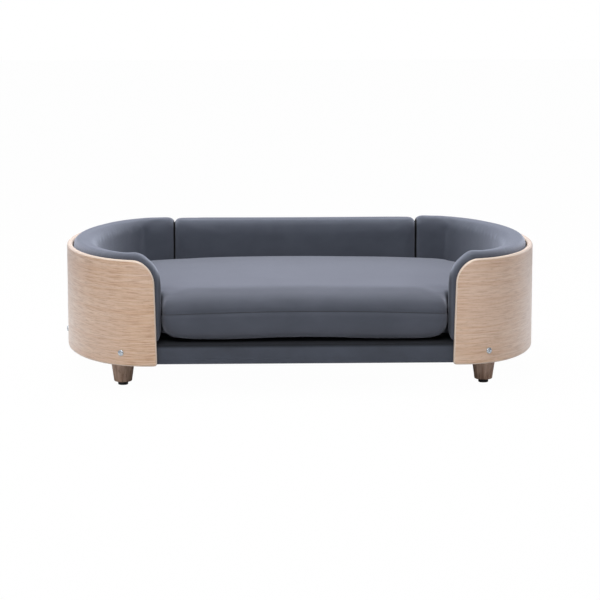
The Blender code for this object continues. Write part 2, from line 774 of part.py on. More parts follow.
def make_zip():
    """The zip's tape and teeth in one piece, and the slider that rides over the teeth."""
    tape, teeth = ZIP_TAPE_HEIGHT / 2 - GAP, ZIP_TEETH_HEIGHT / 2
    chain_section = [
        (-FABRIC, -tape), (-FABRIC, tape), (0, tape), (0, teeth),
        (ZIP_TEETH_PROUD, teeth), (ZIP_TEETH_PROUD, -teeth), (0, -teeth), (0, -tape),
    ]
    chain = extruded("cushion_zip", chain_section, ZIP_LENGTH - 2 * GAP, "zip_nylon")
    chain.location = (0, ZIP_FACE, ZIP_LEVEL)
    channel, floor, wing = teeth + GAP, ZIP_TEETH_PROUD + GAP, SLIDER_WIDTH / 2
    slider_section = [
        (GAP, -wing), (SLIDER_PROUD, -wing), (SLIDER_PROUD, wing), (GAP, wing),
        (GAP, channel), (floor, channel), (floor, -channel), (GAP, -channel),
    ]
    slider = extruded("zip_slider", slider_section, SLIDER_LENGTH, "bright_steel")
    slider.location = (SLIDER_LENGTH - ZIP_LENGTH / 2, ZIP_FACE, ZIP_LEVEL)


clear_scene()
PARTS = collection("dog_sofa_bed")
CUTTERS = collection("cutters")
END_TABLE = end_table()
END_LENGTH = END_TABLE[-1][0]
HALF_RUN = 2 * STRAIGHT_HALF + END_LENGTH

make_shell()
make_bolsters()
make_base_frame()
make_base_cover()
make_shell_bolts()
make_legs()
make_cushion()
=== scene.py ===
# %% [markdown]
# # Dog sofa bed
# A low sofa for a dog. A bent oak-veneered plywood shell stands round an upholstered base on
# four turned legs. Three padded bolsters line the shell, and a thick loose cushion in a zipped
# velvet cover fills the middle. The cells below rebuild each piece that is seen, finer than the
# frame's solids, and give every piece its material.

# %% The frame
import math

import bmesh
import bpy
import numpy as np
from mathutils import Matrix, Vector, noise
from mathutils.bvhtree import BVHTree


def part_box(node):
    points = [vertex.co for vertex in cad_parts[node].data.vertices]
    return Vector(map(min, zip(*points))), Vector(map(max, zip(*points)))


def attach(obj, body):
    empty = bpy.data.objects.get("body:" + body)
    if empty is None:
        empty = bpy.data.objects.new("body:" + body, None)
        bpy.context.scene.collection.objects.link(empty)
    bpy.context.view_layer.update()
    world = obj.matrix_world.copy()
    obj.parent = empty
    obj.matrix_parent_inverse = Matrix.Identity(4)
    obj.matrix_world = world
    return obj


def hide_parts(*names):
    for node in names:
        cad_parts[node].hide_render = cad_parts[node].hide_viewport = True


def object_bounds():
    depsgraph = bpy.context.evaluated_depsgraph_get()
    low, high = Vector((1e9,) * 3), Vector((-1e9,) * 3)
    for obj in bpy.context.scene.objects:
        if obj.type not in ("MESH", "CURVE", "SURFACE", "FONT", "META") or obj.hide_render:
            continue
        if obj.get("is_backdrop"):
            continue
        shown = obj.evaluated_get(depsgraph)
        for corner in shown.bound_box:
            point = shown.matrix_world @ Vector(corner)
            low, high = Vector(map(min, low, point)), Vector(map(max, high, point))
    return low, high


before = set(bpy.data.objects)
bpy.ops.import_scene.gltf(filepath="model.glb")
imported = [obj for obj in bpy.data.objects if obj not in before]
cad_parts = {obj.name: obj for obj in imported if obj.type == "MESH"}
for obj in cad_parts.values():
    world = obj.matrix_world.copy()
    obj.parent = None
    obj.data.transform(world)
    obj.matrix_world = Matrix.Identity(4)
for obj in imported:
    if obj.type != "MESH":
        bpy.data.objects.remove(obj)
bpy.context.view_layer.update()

SIDES = {"left": -1, "right": 1}

# %% [markdown]
# ## Plan curve
# Everything follows one plan: straight stretches at the front and back, joined by two
# half-elliptical ends. A point on it is found from how far it is along the shell's outer face
# from the middle of the front, and how far it is set in from that face. Plywood bends in one
# direction only, so the panels and pads are drawn flat and then bent round this curve.

# %% Plan curve
BED_WIDTH, BED_DEPTH, END_REACH = 1.000, 0.650, 0.176
HALF_STRAIGHT = BED_WIDTH / 2 - END_REACH
TURNS = np.linspace(0, math.pi, 4001)
END_STEPS = np.hypot(
    np.diff(END_REACH * np.sin(TURNS)), np.diff(-BED_DEPTH / 2 * np.cos(TURNS))
)
END_RUN = np.concatenate([[0], np.cumsum(END_STEPS)])
END_LENGTH = END_RUN[-1]
HALF_RUN = 2 * HALF_STRAIGHT + END_LENGTH


def bend(run, inset, side=1):
    """Plan x and y of points at these runs and insets, on the right or the left side."""
    run = np.asarray(run, float)
    past = run - HALF_STRAIGHT
    turn = np.interp(past, END_RUN, TURNS)
    straight = np.minimum(past, 0) - np.maximum(past - END_LENGTH, 0)
    x = HALF_STRAIGHT + END_REACH * np.sin(turn) + straight
    y = -BED_DEPTH / 2 * np.cos(turn)
    across, along = np.sin(turn) / END_REACH, -np.cos(turn) / (BED_DEPTH / 2)
    length = np.hypot(across, along)
    return side * (x - across / length * inset), y - along / length * inset


def run_of_turn(turn):
    return HALF_STRAIGHT + float(np.interp(turn, TURNS, END_RUN))


print("half run", round(HALF_RUN, 4), "m")

# %% [markdown]
# ## Node and mesh helpers
# One helper adds a shader or geometry node with its settings and links. The others turn a hex
# colour to linear light, put an object in the scene, skin rings of points, draw arcs, and hand
# a finished piece to the frame.

# %% Helpers


def linear(code):
    """A six-digit sRGB colour as linear RGBA."""
    parts = [int(code[i : i + 2], 16) / 255 for i in (0, 2, 4)]
    return (*[c / 12.92 if c <= 0.04045 else ((c + 0.055) / 1.055) ** 2.4 for c in parts], 1.0)


def add(tree, kind, settings=None, inputs=None):
    """Adds a node. inputs maps a socket's name or number to a value or to another socket."""
    node = tree.nodes.new(kind)
    for key, value in (settings or {}).items():
        setattr(node, key, value)
    for key, value in (inputs or {}).items():
        if isinstance(value, bpy.types.NodeSocket):
            tree.links.new(value, node.inputs[key])
        else:
            node.inputs[key].default_value = value
    return node


def new_object(name, data):
    obj = bpy.data.objects.new(name, data)
    bpy.context.scene.collection.objects.link(obj)
    return obj


def mesh_of(bm, name):
    mesh = bpy.data.meshes.new(name)
    bm.to_mesh(mesh)
    bm.free()
    return mesh


def add_piece(form, name, materials, body="root", replaced=(), smooth=True):
    """A mesh or bmesh as one piece of a body, in place of the frame's nodes it stands for."""
    mesh = form if isinstance(form, bpy.types.Mesh) else mesh_of(form, name)
    obj = new_object(name, mesh)
    # Clearing also resets each face's material number, so an empty list is left alone.
    if len(mesh.materials):
        mesh.materials.clear()
    for item in materials:
        mesh.materials.append(item)
    mesh.shade_smooth() if smooth else mesh.shade_flat()
    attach(obj, body)
    if replaced:
        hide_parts(*replaced)
    return obj


def bridge(bm, rings):
    """Quads from each closed ring of vertices to the next."""
    for low, high in zip(rings, rings[1:]):
        for i in range(len(low)):
            j = (i + 1) % len(low)
            bm.faces.new((low[i], low[j], high[j], high[i]))


def solid(bm, rings):
    """A closed form: the skin over its rings, and a face at each end."""
    bridge(bm, rings)
    bm.faces.new(rings[0][::-1])
    bm.faces.new(rings[-1])


def outwards(bm):
    """The same form with every face turned out."""
    bmesh.ops.recalc_face_normals(bm, faces=bm.faces[:])
    return bm


def arc(x, y, radius, start, sweep, steps):
    """Points along an arc, from a start angle in degrees through a sweep."""
    angles = np.radians(start + sweep * np.arange(steps + 1) / steps)
    return [(x + radius * math.cos(a), y + radius * math.sin(a)) for a in angles]


def drop(distance, radius):
    """How far a rounded corner has dropped at this distance from its edge."""
    short = max(0.0, radius - distance)
    return radius - math.sqrt(max(0.0, radius * radius - short * short))


# %% [markdown]
# ## Finishes
# A finish is built up as a maker builds it: a ground colour, then layers that show where a
# pattern is strong, then relief and gloss. Grain is noise drawn out on each axis. Many plain
# materials need only two colours shared out by one texture, and one function makes those.

# %% Finish helpers


def start_material(name, **values):
    """A Principled material, and its node tree and shader."""
    made = bpy.data.materials.new(name)
    made.use_nodes = True
    shader = made.node_tree.nodes["Principled BSDF"]
    for key, value in values.items():
        shader.inputs[key.replace("_", " ")].default_value = value
    return made, made.node_tree, shader


def grain(tree, place, scale, detail, rough=0.5, flat=False, turn=(0, 0, 0)):
    """Uneven marks drawn out by a scale on each axis."""
    drawn = add(tree, "ShaderNodeMapping", None, {
        "Vector": place, "Rotation": turn, "Scale": scale})
    marks = add(tree, "ShaderNodeTexNoise", {"noise_dimensions": "2D" if flat else "3D"}, {
        "Vector": drawn.outputs[0], "Scale": 1.0, "Detail": detail, "Roughness": rough})
    return marks.outputs["Fac"]


def layered(tree, under, over, pattern, span=None, share=1.0):
    """One colour over another where a pattern is strong. Each is a hex code or a socket, span
    is the stretch of the pattern over which the layer comes in, and share its full strength."""
    if span:
        pattern = add(tree, "ShaderNodeMapRange", None, {
            "Value": pattern, "From Min": span[0], "From Max": span[1], "To Max": share
        }).outputs[0]
    both = [linear(item) if isinstance(item, str) else item for item in (under, over)]
    return add(tree, "ShaderNodeMix", {"data_type": "RGBA"}, {
        0: pattern, 6: both[0], 7: both[1]}).outputs[2]


def toned_down(tree, colour, dark, pattern, share):
    """A colour darkened by fine marks, which pull it towards a dark hex code."""
    return add(tree, "ShaderNodeMix", {"data_type": "RGBA", "blend_type": "MULTIPLY"}, {
        0: share, 6: colour, 7: layered(tree, dark, "ffffff", pattern)}).outputs[2]


def dress(tree, shader, colour, height=None, relief=(0.3, 0.0003), gloss=None):
    """Links a finish to its shader: its colour, its relief as a height with a strength and a
    depth, and its gloss as a pattern with the roughness at both ends."""
    tree.links.new(colour, shader.inputs["Base Color"])
    if height is not None:
        bump = add(tree, "ShaderNodeBump", None, {
            "Strength": relief[0], "Distance": relief[1], "Height": height})
        tree.links.new(bump.outputs[0], shader.inputs["Normal"])
    if gloss:
        rough = add(tree, "ShaderNodeMapRange", None, {
            "Value": gloss[0], "To Min": gloss[1], "To Max": gloss[2]})
        tree.links.new(rough.outputs[0], shader.inputs["Roughness"])


def two_tone(name, low, high, texture, inputs, settings=None, stretch=None, span=None,
             relief=None, gloss=None, **values):
    """A plain material: two colours shared out by one texture, which may also be its relief
    and its gloss."""
    made, tree, shader = start_material(name, **values)
    place = add(tree, "ShaderNodeTexCoord").outputs["Object"]
    if stretch:
        place = add(tree, "ShaderNodeMapping", None, {
            "Vector": place, "Scale": stretch}).outputs[0]
    drawn = add(tree, f"ShaderNodeTex{texture}", settings, {"Vector": place, **inputs})
    marks = drawn.outputs["Distance" if texture == "Voronoi" else "Fac"]
    dress(
        tree, shader, layered(tree, low, high, marks, span),
        height=marks if relief else None, relief=relief, gloss=gloss and (marks, *gloss),
    )
    return made


# %% [markdown]
# ## Oak veneer
# A thin sliced oak leaf, lacquered matt. It gives the eye the warm tan faces with fine dark
# streaks that run level along the shell, wavering a little, with short pores between them. The
# grain reads the piece's own UV map, in metres along and up the panel, so it follows the bend.

# %% Oak veneer
oak_veneer, tree, shader = start_material(
    "oak_veneer", Roughness=0.42, Coat_Weight=0.8, Coat_Roughness=0.28
)
uv = add(tree, "ShaderNodeUVMap", {"uv_map": "UVMap"}).outputs["UV"]
lift = add(tree, "ShaderNodeMath", {"operation": "MULTIPLY_ADD"}, {
    0: grain(tree, uv, (2.6, 7, 1), 1.0, flat=True), 1: 0.006, 2: -0.003})
shift = add(tree, "ShaderNodeCombineXYZ", None, {"Y": lift.outputs[0]})
wavy = add(tree, "ShaderNodeVectorMath", {"operation": "ADD"}, {0: uv, 1: shift.outputs[0]})
bands, streaks, fibres, pores, leaf = (
    grain(tree, wavy.outputs[0], scale, detail, 0.6, flat=True)
    for scale, detail in (
        ((1.6, 110, 1), 2.0), ((24, 430, 1), 3.0), ((32, 1300, 1), 2.0),
        ((90, 1100, 1), 1.0), ((5, 2.2, 1), 1.0),
    )
)
oak = layered(tree, "d2ad8e", "dcbfa6", bands, (0.36, 0.66))
oak = layered(tree, oak, "a97b56", streaks, (0.45, 0.68), 0.62)
oak = toned_down(tree, oak, "8f8a86", fibres, 0.30)
oak = layered(tree, oak, "d2bcb0", leaf, (0.42, 0.7), 0.30)
oak = layered(tree, oak, "8a6747", pores, (0.66, 0.76), 0.4)
dress(tree, shader, oak, fibres, (0.25, 0.0003), gloss=(streaks, 0.36, 0.52))

# %% [markdown]
# ## Ply edge
# The sanded edge of a seven-ply sheet. It gives the pale cream line along the shell's rim, with
# thin glue lines between the plies and a faintly darker cross ply every other layer. The second
# number of the UV map is the depth through the sheet.

# %% Ply edge
PLY, PLY_COUNT = 0.012, 7
ply_edge, tree, shader = start_material("ply_edge", Roughness=0.5, Coat_Weight=0.1)
uv = add(tree, "ShaderNodeUVMap", {"uv_map": "UVMap"}).outputs["UV"]
depth = add(tree, "ShaderNodeSeparateXYZ", None, {0: uv})
speck = grain(tree, uv, (260, 1500, 1), 3.0, flat=True)
count = add(tree, "ShaderNodeMath", {"operation": "MULTIPLY"}, {
    0: depth.outputs["Y"], 1: math.pi * PLY_COUNT / PLY})
plies = add(tree, "ShaderNodeMath", {"operation": "SINE"}, {0: count.outputs[0]}).outputs[0]
glue = add(tree, "ShaderNodeMath", {"operation": "ABSOLUTE"}, {0: plies}).outputs[0]
edge = layered(tree, "c8b4a2", "d4c3b4", plies, (-0.3, 0.3))
edge = layered(tree, edge, "a48e7a", glue, (0.22, 0.0), 0.3)
edge = layered(tree, edge, "b59f8c", speck, (0.5, 0.8), 0.25)
dress(tree, shader, edge, speck, (0.3, 0.0002))

# %% [markdown]
# ## Bent plywood shell
# Three panels, pressed round a form and sawn out: two ends with a rounded front corner, and a
# straight back. Each is drawn flat as a plate with its outline's corners rounded and its edges
# eased, sliced where it has to bend, and bent. The narrow ring inside the eased edge keeps the
# large faces shading flat, and a face turned towards the outline takes the ply edge. The front
# edge is sawn at a slight slant, so each end panel is a little shorter at its top.

# %% Shell panels
SHELL_BOTTOM, SHELL_TOP = 0.055, 0.273
SHELL_EDGE, BACK_JOINT, JOINT_GAP = 0.3025, 0.274, 0.0003
EDGE_EASE, EASE_RING, JOINT_SPARE = 0.0042, 0.0008, 0.012
SAWN_CORNER, TOP_CORNER = 0.007, 0.050
FRONT_SLANT, SLANT_REACH = 0.006, 0.12
CORNER_POINTS, EASE_STEPS = 14, 4
EDGE_NORMAL = 0.97


def cut_at(bm, run, way=1, **options):
    """Cuts a flat plate square across at a run."""
    everything = bm.verts[:] + bm.edges[:] + bm.faces[:]
    return bmesh.ops.bisect_plane(
        bm, geom=everything, dist=1e-6, plane_co=(run, 0, 0), plane_no=(way, 0, 0), **options
    )


def rounded_outline(low, high, radii, offset):
    """A rectangle's outline set in by an offset. low and high are its corners as (run, z), and
    radii go round from the low start corner through the low stop one."""
    (start, bottom), (stop, top) = low, high
    corners = [
        (start, bottom, 1, 1, 180), (stop, bottom, -1, 1, 270),
        (stop, top, -1, -1, 0), (start, top, 1, -1, 90),
    ]
    points = []
    for (run, z, way, up, angle), radius in zip(corners, radii):
        centre = (run + way * radius, z + up * radius)
        points += arc(*centre, radius - offset, angle, 90, CORNER_POINTS)
    return points


def bent_plate(low, high, radii, side, joints, spacing=0.005):
    """A plate of the shell's thickness, eased along its edges, sawn square at its joints and
    bent round the plan curve. joints gives which way the plate goes on from each sawn run."""
    curve = [math.radians(90 * i / EASE_STEPS) for i in range(EASE_STEPS + 1)]
    profile = [(EDGE_EASE + EASE_RING, 0.0)]
    profile += [(EDGE_EASE * (1 - math.sin(a)), EDGE_EASE * (1 - math.cos(a))) for a in curve]
    profile += [(offset, PLY - inset) for offset, inset in reversed(profile)]
    bm = bmesh.new()
    rings = []
    for offset, inset in profile:
        outline = rounded_outline(low, high, radii, offset)
        rings.append([bm.verts.new((run, inset, z)) for run, z in outline])
    solid(bm, rings)
    for run, way in joints.items():
        cut = cut_at(bm, run, -way, clear_outer=True)
        rim = [item for item in cut["geom_cut"] if isinstance(item, bmesh.types.BMEdge)]
        bmesh.ops.edgeloop_fill(bm, edges=rim)
    first = max(low[0] + 0.002, HALF_STRAIGHT)
    last = min(high[0] - 0.002, HALF_STRAIGHT + END_LENGTH)
    for run in np.arange(first, last, spacing):
        cut_at(bm, run)
    bm.normal_update()
    uv_layer = bm.loops.layers.uv.new("UVMap")
    for face in bm.faces:
        edge_face = abs(face.normal.y) < EDGE_NORMAL
        face.material_index = int(edge_face)
        for loop in face.loops:
            run, inset, z = loop.vert.co
            loop[uv_layer].uv = (run + z, inset) if edge_face else (run + side, z)
    runs, insets, levels = np.array([v.co[:] for v in bm.verts]).T
    share = np.clip(1 - (runs - SHELL_EDGE) / SLANT_REACH, 0, 1) ** 2
    runs = runs + FRONT_SLANT * share * (levels - SHELL_BOTTOM) / (SHELL_TOP - SHELL_BOTTOM)
    for vert, x, y in zip(bm.verts, *bend(runs, insets, side)):
        vert.co.x, vert.co.y = x, y
    return outwards(bm)


panel_stop = HALF_RUN - BACK_JOINT - JOINT_GAP / 2
for name, side in SIDES.items():
    low, high = (SHELL_EDGE, SHELL_BOTTOM), (panel_stop + JOINT_SPARE, SHELL_TOP)
    radii = (SAWN_CORNER, SAWN_CORNER, SAWN_CORNER, TOP_CORNER)
    add_piece(
        bent_plate(low, high, radii, side, {panel_stop: -1}), f"{name}_shell_panel",
        [oak_veneer, ply_edge], replaced=[f"{name}_shell"],
    )
back_start = HALF_RUN - BACK_JOINT + JOINT_GAP / 2
back_stop = HALF_RUN + BACK_JOINT - JOINT_GAP / 2
low, high = (back_start - JOINT_SPARE, SHELL_BOTTOM), (back_stop + JOINT_SPARE, SHELL_TOP)
add_piece(
    bent_plate(low, high, (SAWN_CORNER,) * 4, 1, {back_start: 1, back_stop: -1}),
    "back_shell_panel", [oak_veneer, ply_edge], replaced=["back_panel"],
)

# %% [markdown]
# ## Velvet
# A short, dense blue-grey pile. It is dark when it is looked at straight on and pale at a
# grazing angle, which is what makes the cushion's top so much lighter than its front. Sheen
# gives that, slow noise gives the brushed cloudiness of the pile, and a fine bump its nap. Along
# a few named narrow bands the colour is painted near black and the sheen turned down: painted
# shade for the shadow in the joints between the bolsters, at their front tips, where the
# cushion's ends meet them, and along the front of the base's top edge under the cushion.

# %% Velvet
BOLSTER_TIP = 0.2950
# Bands of painted shade fade in over this length in y, towards this near-black painted shade
# colour.
SHADE_BAND_FADE, PAINTED_SHADE_DARK = 0.035, "08090b"


def velvet(name, base, cloud, sheen, spread, tint, shade_bands):
    """Pile velvet. The last argument lists narrow bands of painted shade, where the colour is
    darkened towards near black and the sheen turned down to stand for the shadow in a crease or
    under an overhang. Each band is an axis, the coordinate where it is darkest, how far it
    reaches, the share of colour left, and the y it starts at with its way."""
    made, tree, shader = start_material(
        name, Roughness=0.88, Sheen_Weight=sheen, Sheen_Roughness=spread,
        Sheen_Tint=linear(tint), Specular_IOR_Level=0.25,
    )
    place = add(tree, "ShaderNodeTexCoord").outputs["Object"]
    brushed = add(tree, "ShaderNodeTexNoise", None, {
        "Vector": place, "Scale": 9.0, "Detail": 3.0, "Roughness": 0.55, "Distortion": 0.4})
    strokes = grain(tree, place, (24, 70, 40), 3.0, turn=(0.2, 0.1, 0.5))
    nap = add(tree, "ShaderNodeTexNoise", None, {
        "Vector": place, "Scale": 1500.0, "Detail": 2.0}).outputs["Fac"]
    mottled = add(tree, "ShaderNodeMath", {"operation": "MULTIPLY_ADD"}, {
        0: strokes, 1: 0.5, 2: brushed.outputs["Fac"]})
    pile = layered(tree, base, cloud, mottled.outputs[0], (0.5, 1.0))
    pile = toned_down(tree, pile, "a0a0a0", nap, 0.35)
    axes = add(tree, "ShaderNodeSeparateXYZ", None, {0: place})
    across = add(tree, "ShaderNodeMath", {"operation": "ABSOLUTE"}, {0: axes.outputs["X"]})
    # lit is the share of colour and sheen left after every band of painted shade.
    lit = 1.0
    for axis, middle, reach, floor_share, y_limit, y_way in shade_bands:
        source = across.outputs[0] if axis == "X" else axes.outputs["Z"]
        off = add(tree, "ShaderNodeMath", {"operation": "SUBTRACT"}, {0: source, 1: middle})
        away = add(tree, "ShaderNodeMath", {"operation": "ABSOLUTE"}, {0: off.outputs[0]})
        shade_band = add(tree, "ShaderNodeMapRange", {"interpolation_type": "SMOOTHSTEP"}, {
            "Value": away.outputs[0], "From Min": reach * 0.2, "From Max": reach,
            "To Min": floor_share})
        beyond = add(tree, "ShaderNodeMapRange", {"interpolation_type": "SMOOTHSTEP"}, {
            "Value": axes.outputs["Y"], "From Min": y_limit,
            "From Max": y_limit + y_way * SHADE_BAND_FADE})
        kept = add(tree, "ShaderNodeMix", {"data_type": "FLOAT"}, {
            0: beyond.outputs[0], 2: 1.0, 3: shade_band.outputs[0]})
        lit = add(tree, "ShaderNodeMath", {"operation": "MULTIPLY"}, {
            0: lit, 1: kept.outputs[0]}).outputs[0]
    # The painted shade also turns the sheen down, so the dark bands take no sheen.
    dimmed = add(tree, "ShaderNodeMath", {"operation": "MULTIPLY"}, {0: lit, 1: sheen})
    tree.links.new(dimmed.outputs[0], shader.inputs["Sheen Weight"])
    heights = add(tree, "ShaderNodeMath", {"operation": "MULTIPLY_ADD"}, {
        0: strokes, 1: 0.8, 2: nap})
    shaded = layered(tree, PAINTED_SHADE_DARK, pile, lit)
    dress(tree, shader, shaded, heights.outputs[0], (0.22, 0.0006))
    return made


# Painted shade: the bolsters are painted dark in a thin line at each joint between the side and
# back bolsters, and darker at their front tips.
bolster_velvet = velvet("bolster_velvet", "414550", "4b505b", 0.78, 0.56, "c3c9d9", (
    ("X", BACK_JOINT, 0.0038, 0.0, 0.20, 1), ("X", BOLSTER_TIP, 0.0070, 0.35, -0.20, -1)))
# Painted shadow: a dark band along the front of the base's top edge, where the cushion overhangs
# it.
base_velvet = velvet("base_velvet", "40444d", "494e59", 0.5, 0.52, "c3c8d8", (
    ("Z", 0.0975, 0.0085, 0.20, -0.20, -1),))
# Painted shade: the cushion's ends are painted dark where they tuck against the bolsters' front
# tips.
cushion_velvet = velvet("cushion_velvet", "464a54", "4f535e", 0.80, 0.50, "c8ccdb", (
    ("X", BOLSTER_TIP + 0.001, 0.0090, 0.15, -0.235, -1),))

# %% [markdown]
# The thread is spun polyester, a shade darker than the velvet. It gives the thin dark line of a
# seam its twist.

# %% Thread
seam_thread = two_tone(
    "seam_thread", "14161b", "22252c", "Wave", {"Scale": 260.0, "Distortion": 1.0},
    {"wave_type": "BANDS", "bands_direction": "DIAGONAL"}, Roughness=0.8, Sheen_Weight=0.3,
)

# %% [markdown]
# ## Inflating a pad
# A filled cover is cloth under pressure from the filling. Each pad starts a little smaller than
# its finished size, is remeshed evenly, swells as cloth for a few steps with the parts that are
# sewn or held pinned, and keeps only a limited share of that movement. One subdivision then
# smooths it.

# %% Inflate
VOXEL = 0.0050
SWELL_STEPS = 18


def points_of(mesh):
    flat = np.empty(len(mesh.vertices) * 3, np.float32)
    mesh.vertices.foreach_get("co", flat)
    return flat.reshape(-1, 3).astype(float)


def put_points(mesh, points):
    mesh.vertices.foreach_set("co", np.asarray(points, np.float32).ravel())
    mesh.update()


def applied(obj):
    """The object's mesh with its modifiers in place, as a new mesh."""
    graph = bpy.context.evaluated_depsgraph_get()
    return bpy.data.meshes.new_from_object(obj.evaluated_get(graph))


def remeshed(bm, name, voxel=VOXEL):
    """An even quad mesh of a closed form, as a loose object."""
    obj = new_object(name, mesh_of(bm, name))
    grid = obj.modifiers.new("Remesh", "REMESH")
    grid.mode, grid.voxel_size, grid.adaptivity = "VOXEL", voxel, 0.0
    calm = obj.modifiers.new("Smooth", "SMOOTH")
    calm.factor, calm.iterations = 0.5, 3
    obj.data = applied(obj)
    obj.modifiers.clear()
    return obj


def swell(obj, pinned, cap, pressure=4.0, stiffness=18.0):
    """Lets the cover swell as cloth. pinned gives each vertex's hold, from 0 to 1."""
    start = points_of(obj.data)
    group = obj.vertex_groups.new(name="held")
    for index in np.flatnonzero(pinned > 0.01):
        group.add([int(index)], float(pinned[index]), "REPLACE")
    cloth = obj.modifiers.new("Cloth", "CLOTH")
    settings = cloth.settings
    settings.quality = 5
    settings.mass = 0.4
    settings.tension_stiffness = settings.compression_stiffness = stiffness
    settings.shear_stiffness = stiffness / 2
    settings.bending_stiffness = 1.2
    settings.use_pressure = True
    settings.uniform_pressure_force = pressure
    settings.effector_weights.gravity = 0.0
    settings.vertex_group_mass = "held"
    cloth.collision_settings.use_collision = False
    cloth.point_cache.frame_start, cloth.point_cache.frame_end = 1, SWELL_STEPS + 1
    scene = bpy.context.scene
    for step in range(1, SWELL_STEPS + 1):
        scene.frame_set(step)
    moved = applied(obj)
    finish = points_of(moved)
    bpy.data.meshes.remove(moved)
    obj.modifiers.clear()
    obj.vertex_groups.clear()
    scene.frame_set(1)
    travel = finish - start
    length = np.maximum(np.linalg.norm(travel, axis=1), 1e-9)
    print(f"{obj.name}: {len(start)} points, largest swell {length.max() * 1000:.1f} mm")
    return start + travel * np.minimum(1, cap / length)[:, None]


def relaxed(mesh, points, steps):
    """The points with short unevenness taken out."""
    first, second = np.array([e.vertices[:] for e in mesh.edges]).T
    count = np.bincount(np.concatenate([first, second]), minlength=len(points))[:, None]
    for _ in range(steps):
        total = np.zeros_like(points)
        np.add.at(total, first, points[second])
        np.add.at(total, second, points[first])
        points = points + 0.5 * (total / count - points)
    return points


def in_blocks(points, measure):
    """Measures many points a few thousand at a time, which spares memory."""
    blocks = np.array_split(points, max(1, len(points) // 4000))
    return np.concatenate([measure(block) for block in blocks])


def subdivided(obj):
    finer = obj.modifiers.new("Subdivision", "SUBSURF")
    finer.levels = finer.render_levels = 1
    obj.data = applied(obj)
    obj.modifiers.clear()


# %% [markdown]
# ## Bolsters
# Each bolster is a thin board with foam wrapped in velvet: a full round crown on top, a foot
# that rests on the base, and boxed ends. The side bolsters run down at the front round the
# shell's corner, a finger's width proud of the wood. Sections of the pad are set along the plan
# curve, then the pad is inflated with its back held flat by the board.

# %% Bolsters
BASE_TOP = 0.0973
BOLSTER_BACK, BOLSTER_FACE = 0.016, 0.0625
BOLSTER_LEAN, BEND_FALL, BEND_RUN = 0.0042, 0.0035, 0.20
CROWN_ROUND, SHOULDER_ROUND, FOOT_ROUND = 0.021, 0.017, 0.011
BOLSTER_SWELL, SPLIT_OVERRUN = 0.0028, 0.0012
SKIN = 0.0012
SPLIT_SOFTNESS, SPLIT_CORNER, END_DRAW = 0.006, 0.013, 0.82


def pad_section(back, face, low, high, shrink):
    """A section as (inset, z), from the bottom of its back round its face to the top."""
    crown, shoulder, foot = (
        max(0.001, radius - shrink) for radius in (CROWN_ROUND, SHOULDER_ROUND, FOOT_ROUND)
    )
    belly = (low + high) / 2
    lean = BOLSTER_LEAN * max(0.0, 1 - shrink / 0.006)
    points = arc(back + foot, low + foot, foot, 180, 90, 5)
    points += arc(face - foot, low + foot, foot, 270, 90, 5)
    points += [(face + 0.0008, belly - 0.04), (face + 0.0008, belly + 0.02)]
    points += arc(face - crown, high - crown, crown, 0, 90, 10)
    points += arc(back - lean + shoulder, high - shoulder, shoulder, 90, 90, 8)
    return points + [(back - lean * 0.8, high - shoulder - 0.012), (back, high - 0.045)]


def pad_form(start, stop, top, side, tip_corner, tip_foot, soft_tip, bends):
    """A bolster's start shape: sections at close runs, drawn in at both ends."""
    runs = list(np.arange(start + soft_tip, stop - SPLIT_SOFTNESS, 0.006))
    runs += [start + soft_tip * (1 - math.cos(a)) for a in np.linspace(0.0, 1.5, 9)]
    runs += [stop - SPLIT_SOFTNESS * (1 - math.cos(a)) for a in np.linspace(0.0, 1.5, 7)]
    bm = bmesh.new()
    rings = []
    for run in sorted(runs):
        ending = max(drop(run - start, soft_tip), drop(stop - run, SPLIT_SOFTNESS))
        shrink = ending * END_DRAW + SKIN
        fall = BEND_FALL * min(1.0, max(0.0, stop - run - 0.02) / BEND_RUN) if bends else 0
        corner = max(drop(run - start, tip_corner), drop(stop - run, SPLIT_CORNER))
        high = top - corner - SKIN - fall
        low = BASE_TOP + drop(run - start, tip_foot) + shrink
        section = pad_section(BOLSTER_BACK + shrink, BOLSTER_FACE - shrink, low, high, shrink)
        insets, levels = np.array(section).T
        xs, ys = bend(np.full(len(insets), run), insets, side)
        rings.append([bm.verts.new(point) for point in zip(xs, ys, levels)])
    solid(bm, rings)
    return outwards(bm)


def inset_of(points):
    """How far points are set in from the shell's outer face, to the nearest curve sample."""
    curve = np.stack(bend(np.linspace(0, HALF_RUN, 1400), 0.0), 1)
    plan = np.hstack([np.abs(points[:, :1]), points[:, 1:2]])
    return in_blocks(
        plan, lambda block: np.linalg.norm(block[:, None] - curve[None], axis=2).min(1)
    )


def make_bolster(name, start, stop, top, side, bends):
    corner, foot, soft = (0.064, 0.010, 0.018) if bends else (0.013, 0.004, 0.009)
    pad = remeshed(pad_form(start, stop, top, side, corner, foot, soft, bends), f"{name}_pad")
    points = points_of(pad.data)
    held = np.clip((BOLSTER_BACK + 0.010 - inset_of(points)) / 0.006, 0, 1)
    held = np.maximum(held, np.clip((BASE_TOP + 0.006 - points[:, 2]) / 0.004, 0, 1))
    points = swell(pad, held, BOLSTER_SWELL, pressure=3.0)
    points = relaxed(pad.data, points, 3)
    points[:, 2] = np.clip(points[:, 2], BASE_TOP, top + 0.001)
    put_points(pad.data, points)
    subdivided(pad)
    mesh = pad.data
    bpy.data.objects.remove(pad)
    piece = add_piece(
        mesh, f"{name}_bolster", [bolster_velvet],
        replaced=[f"{name}_bolster_cover", f"{name}_bolster_foam"],
    )
    return piece


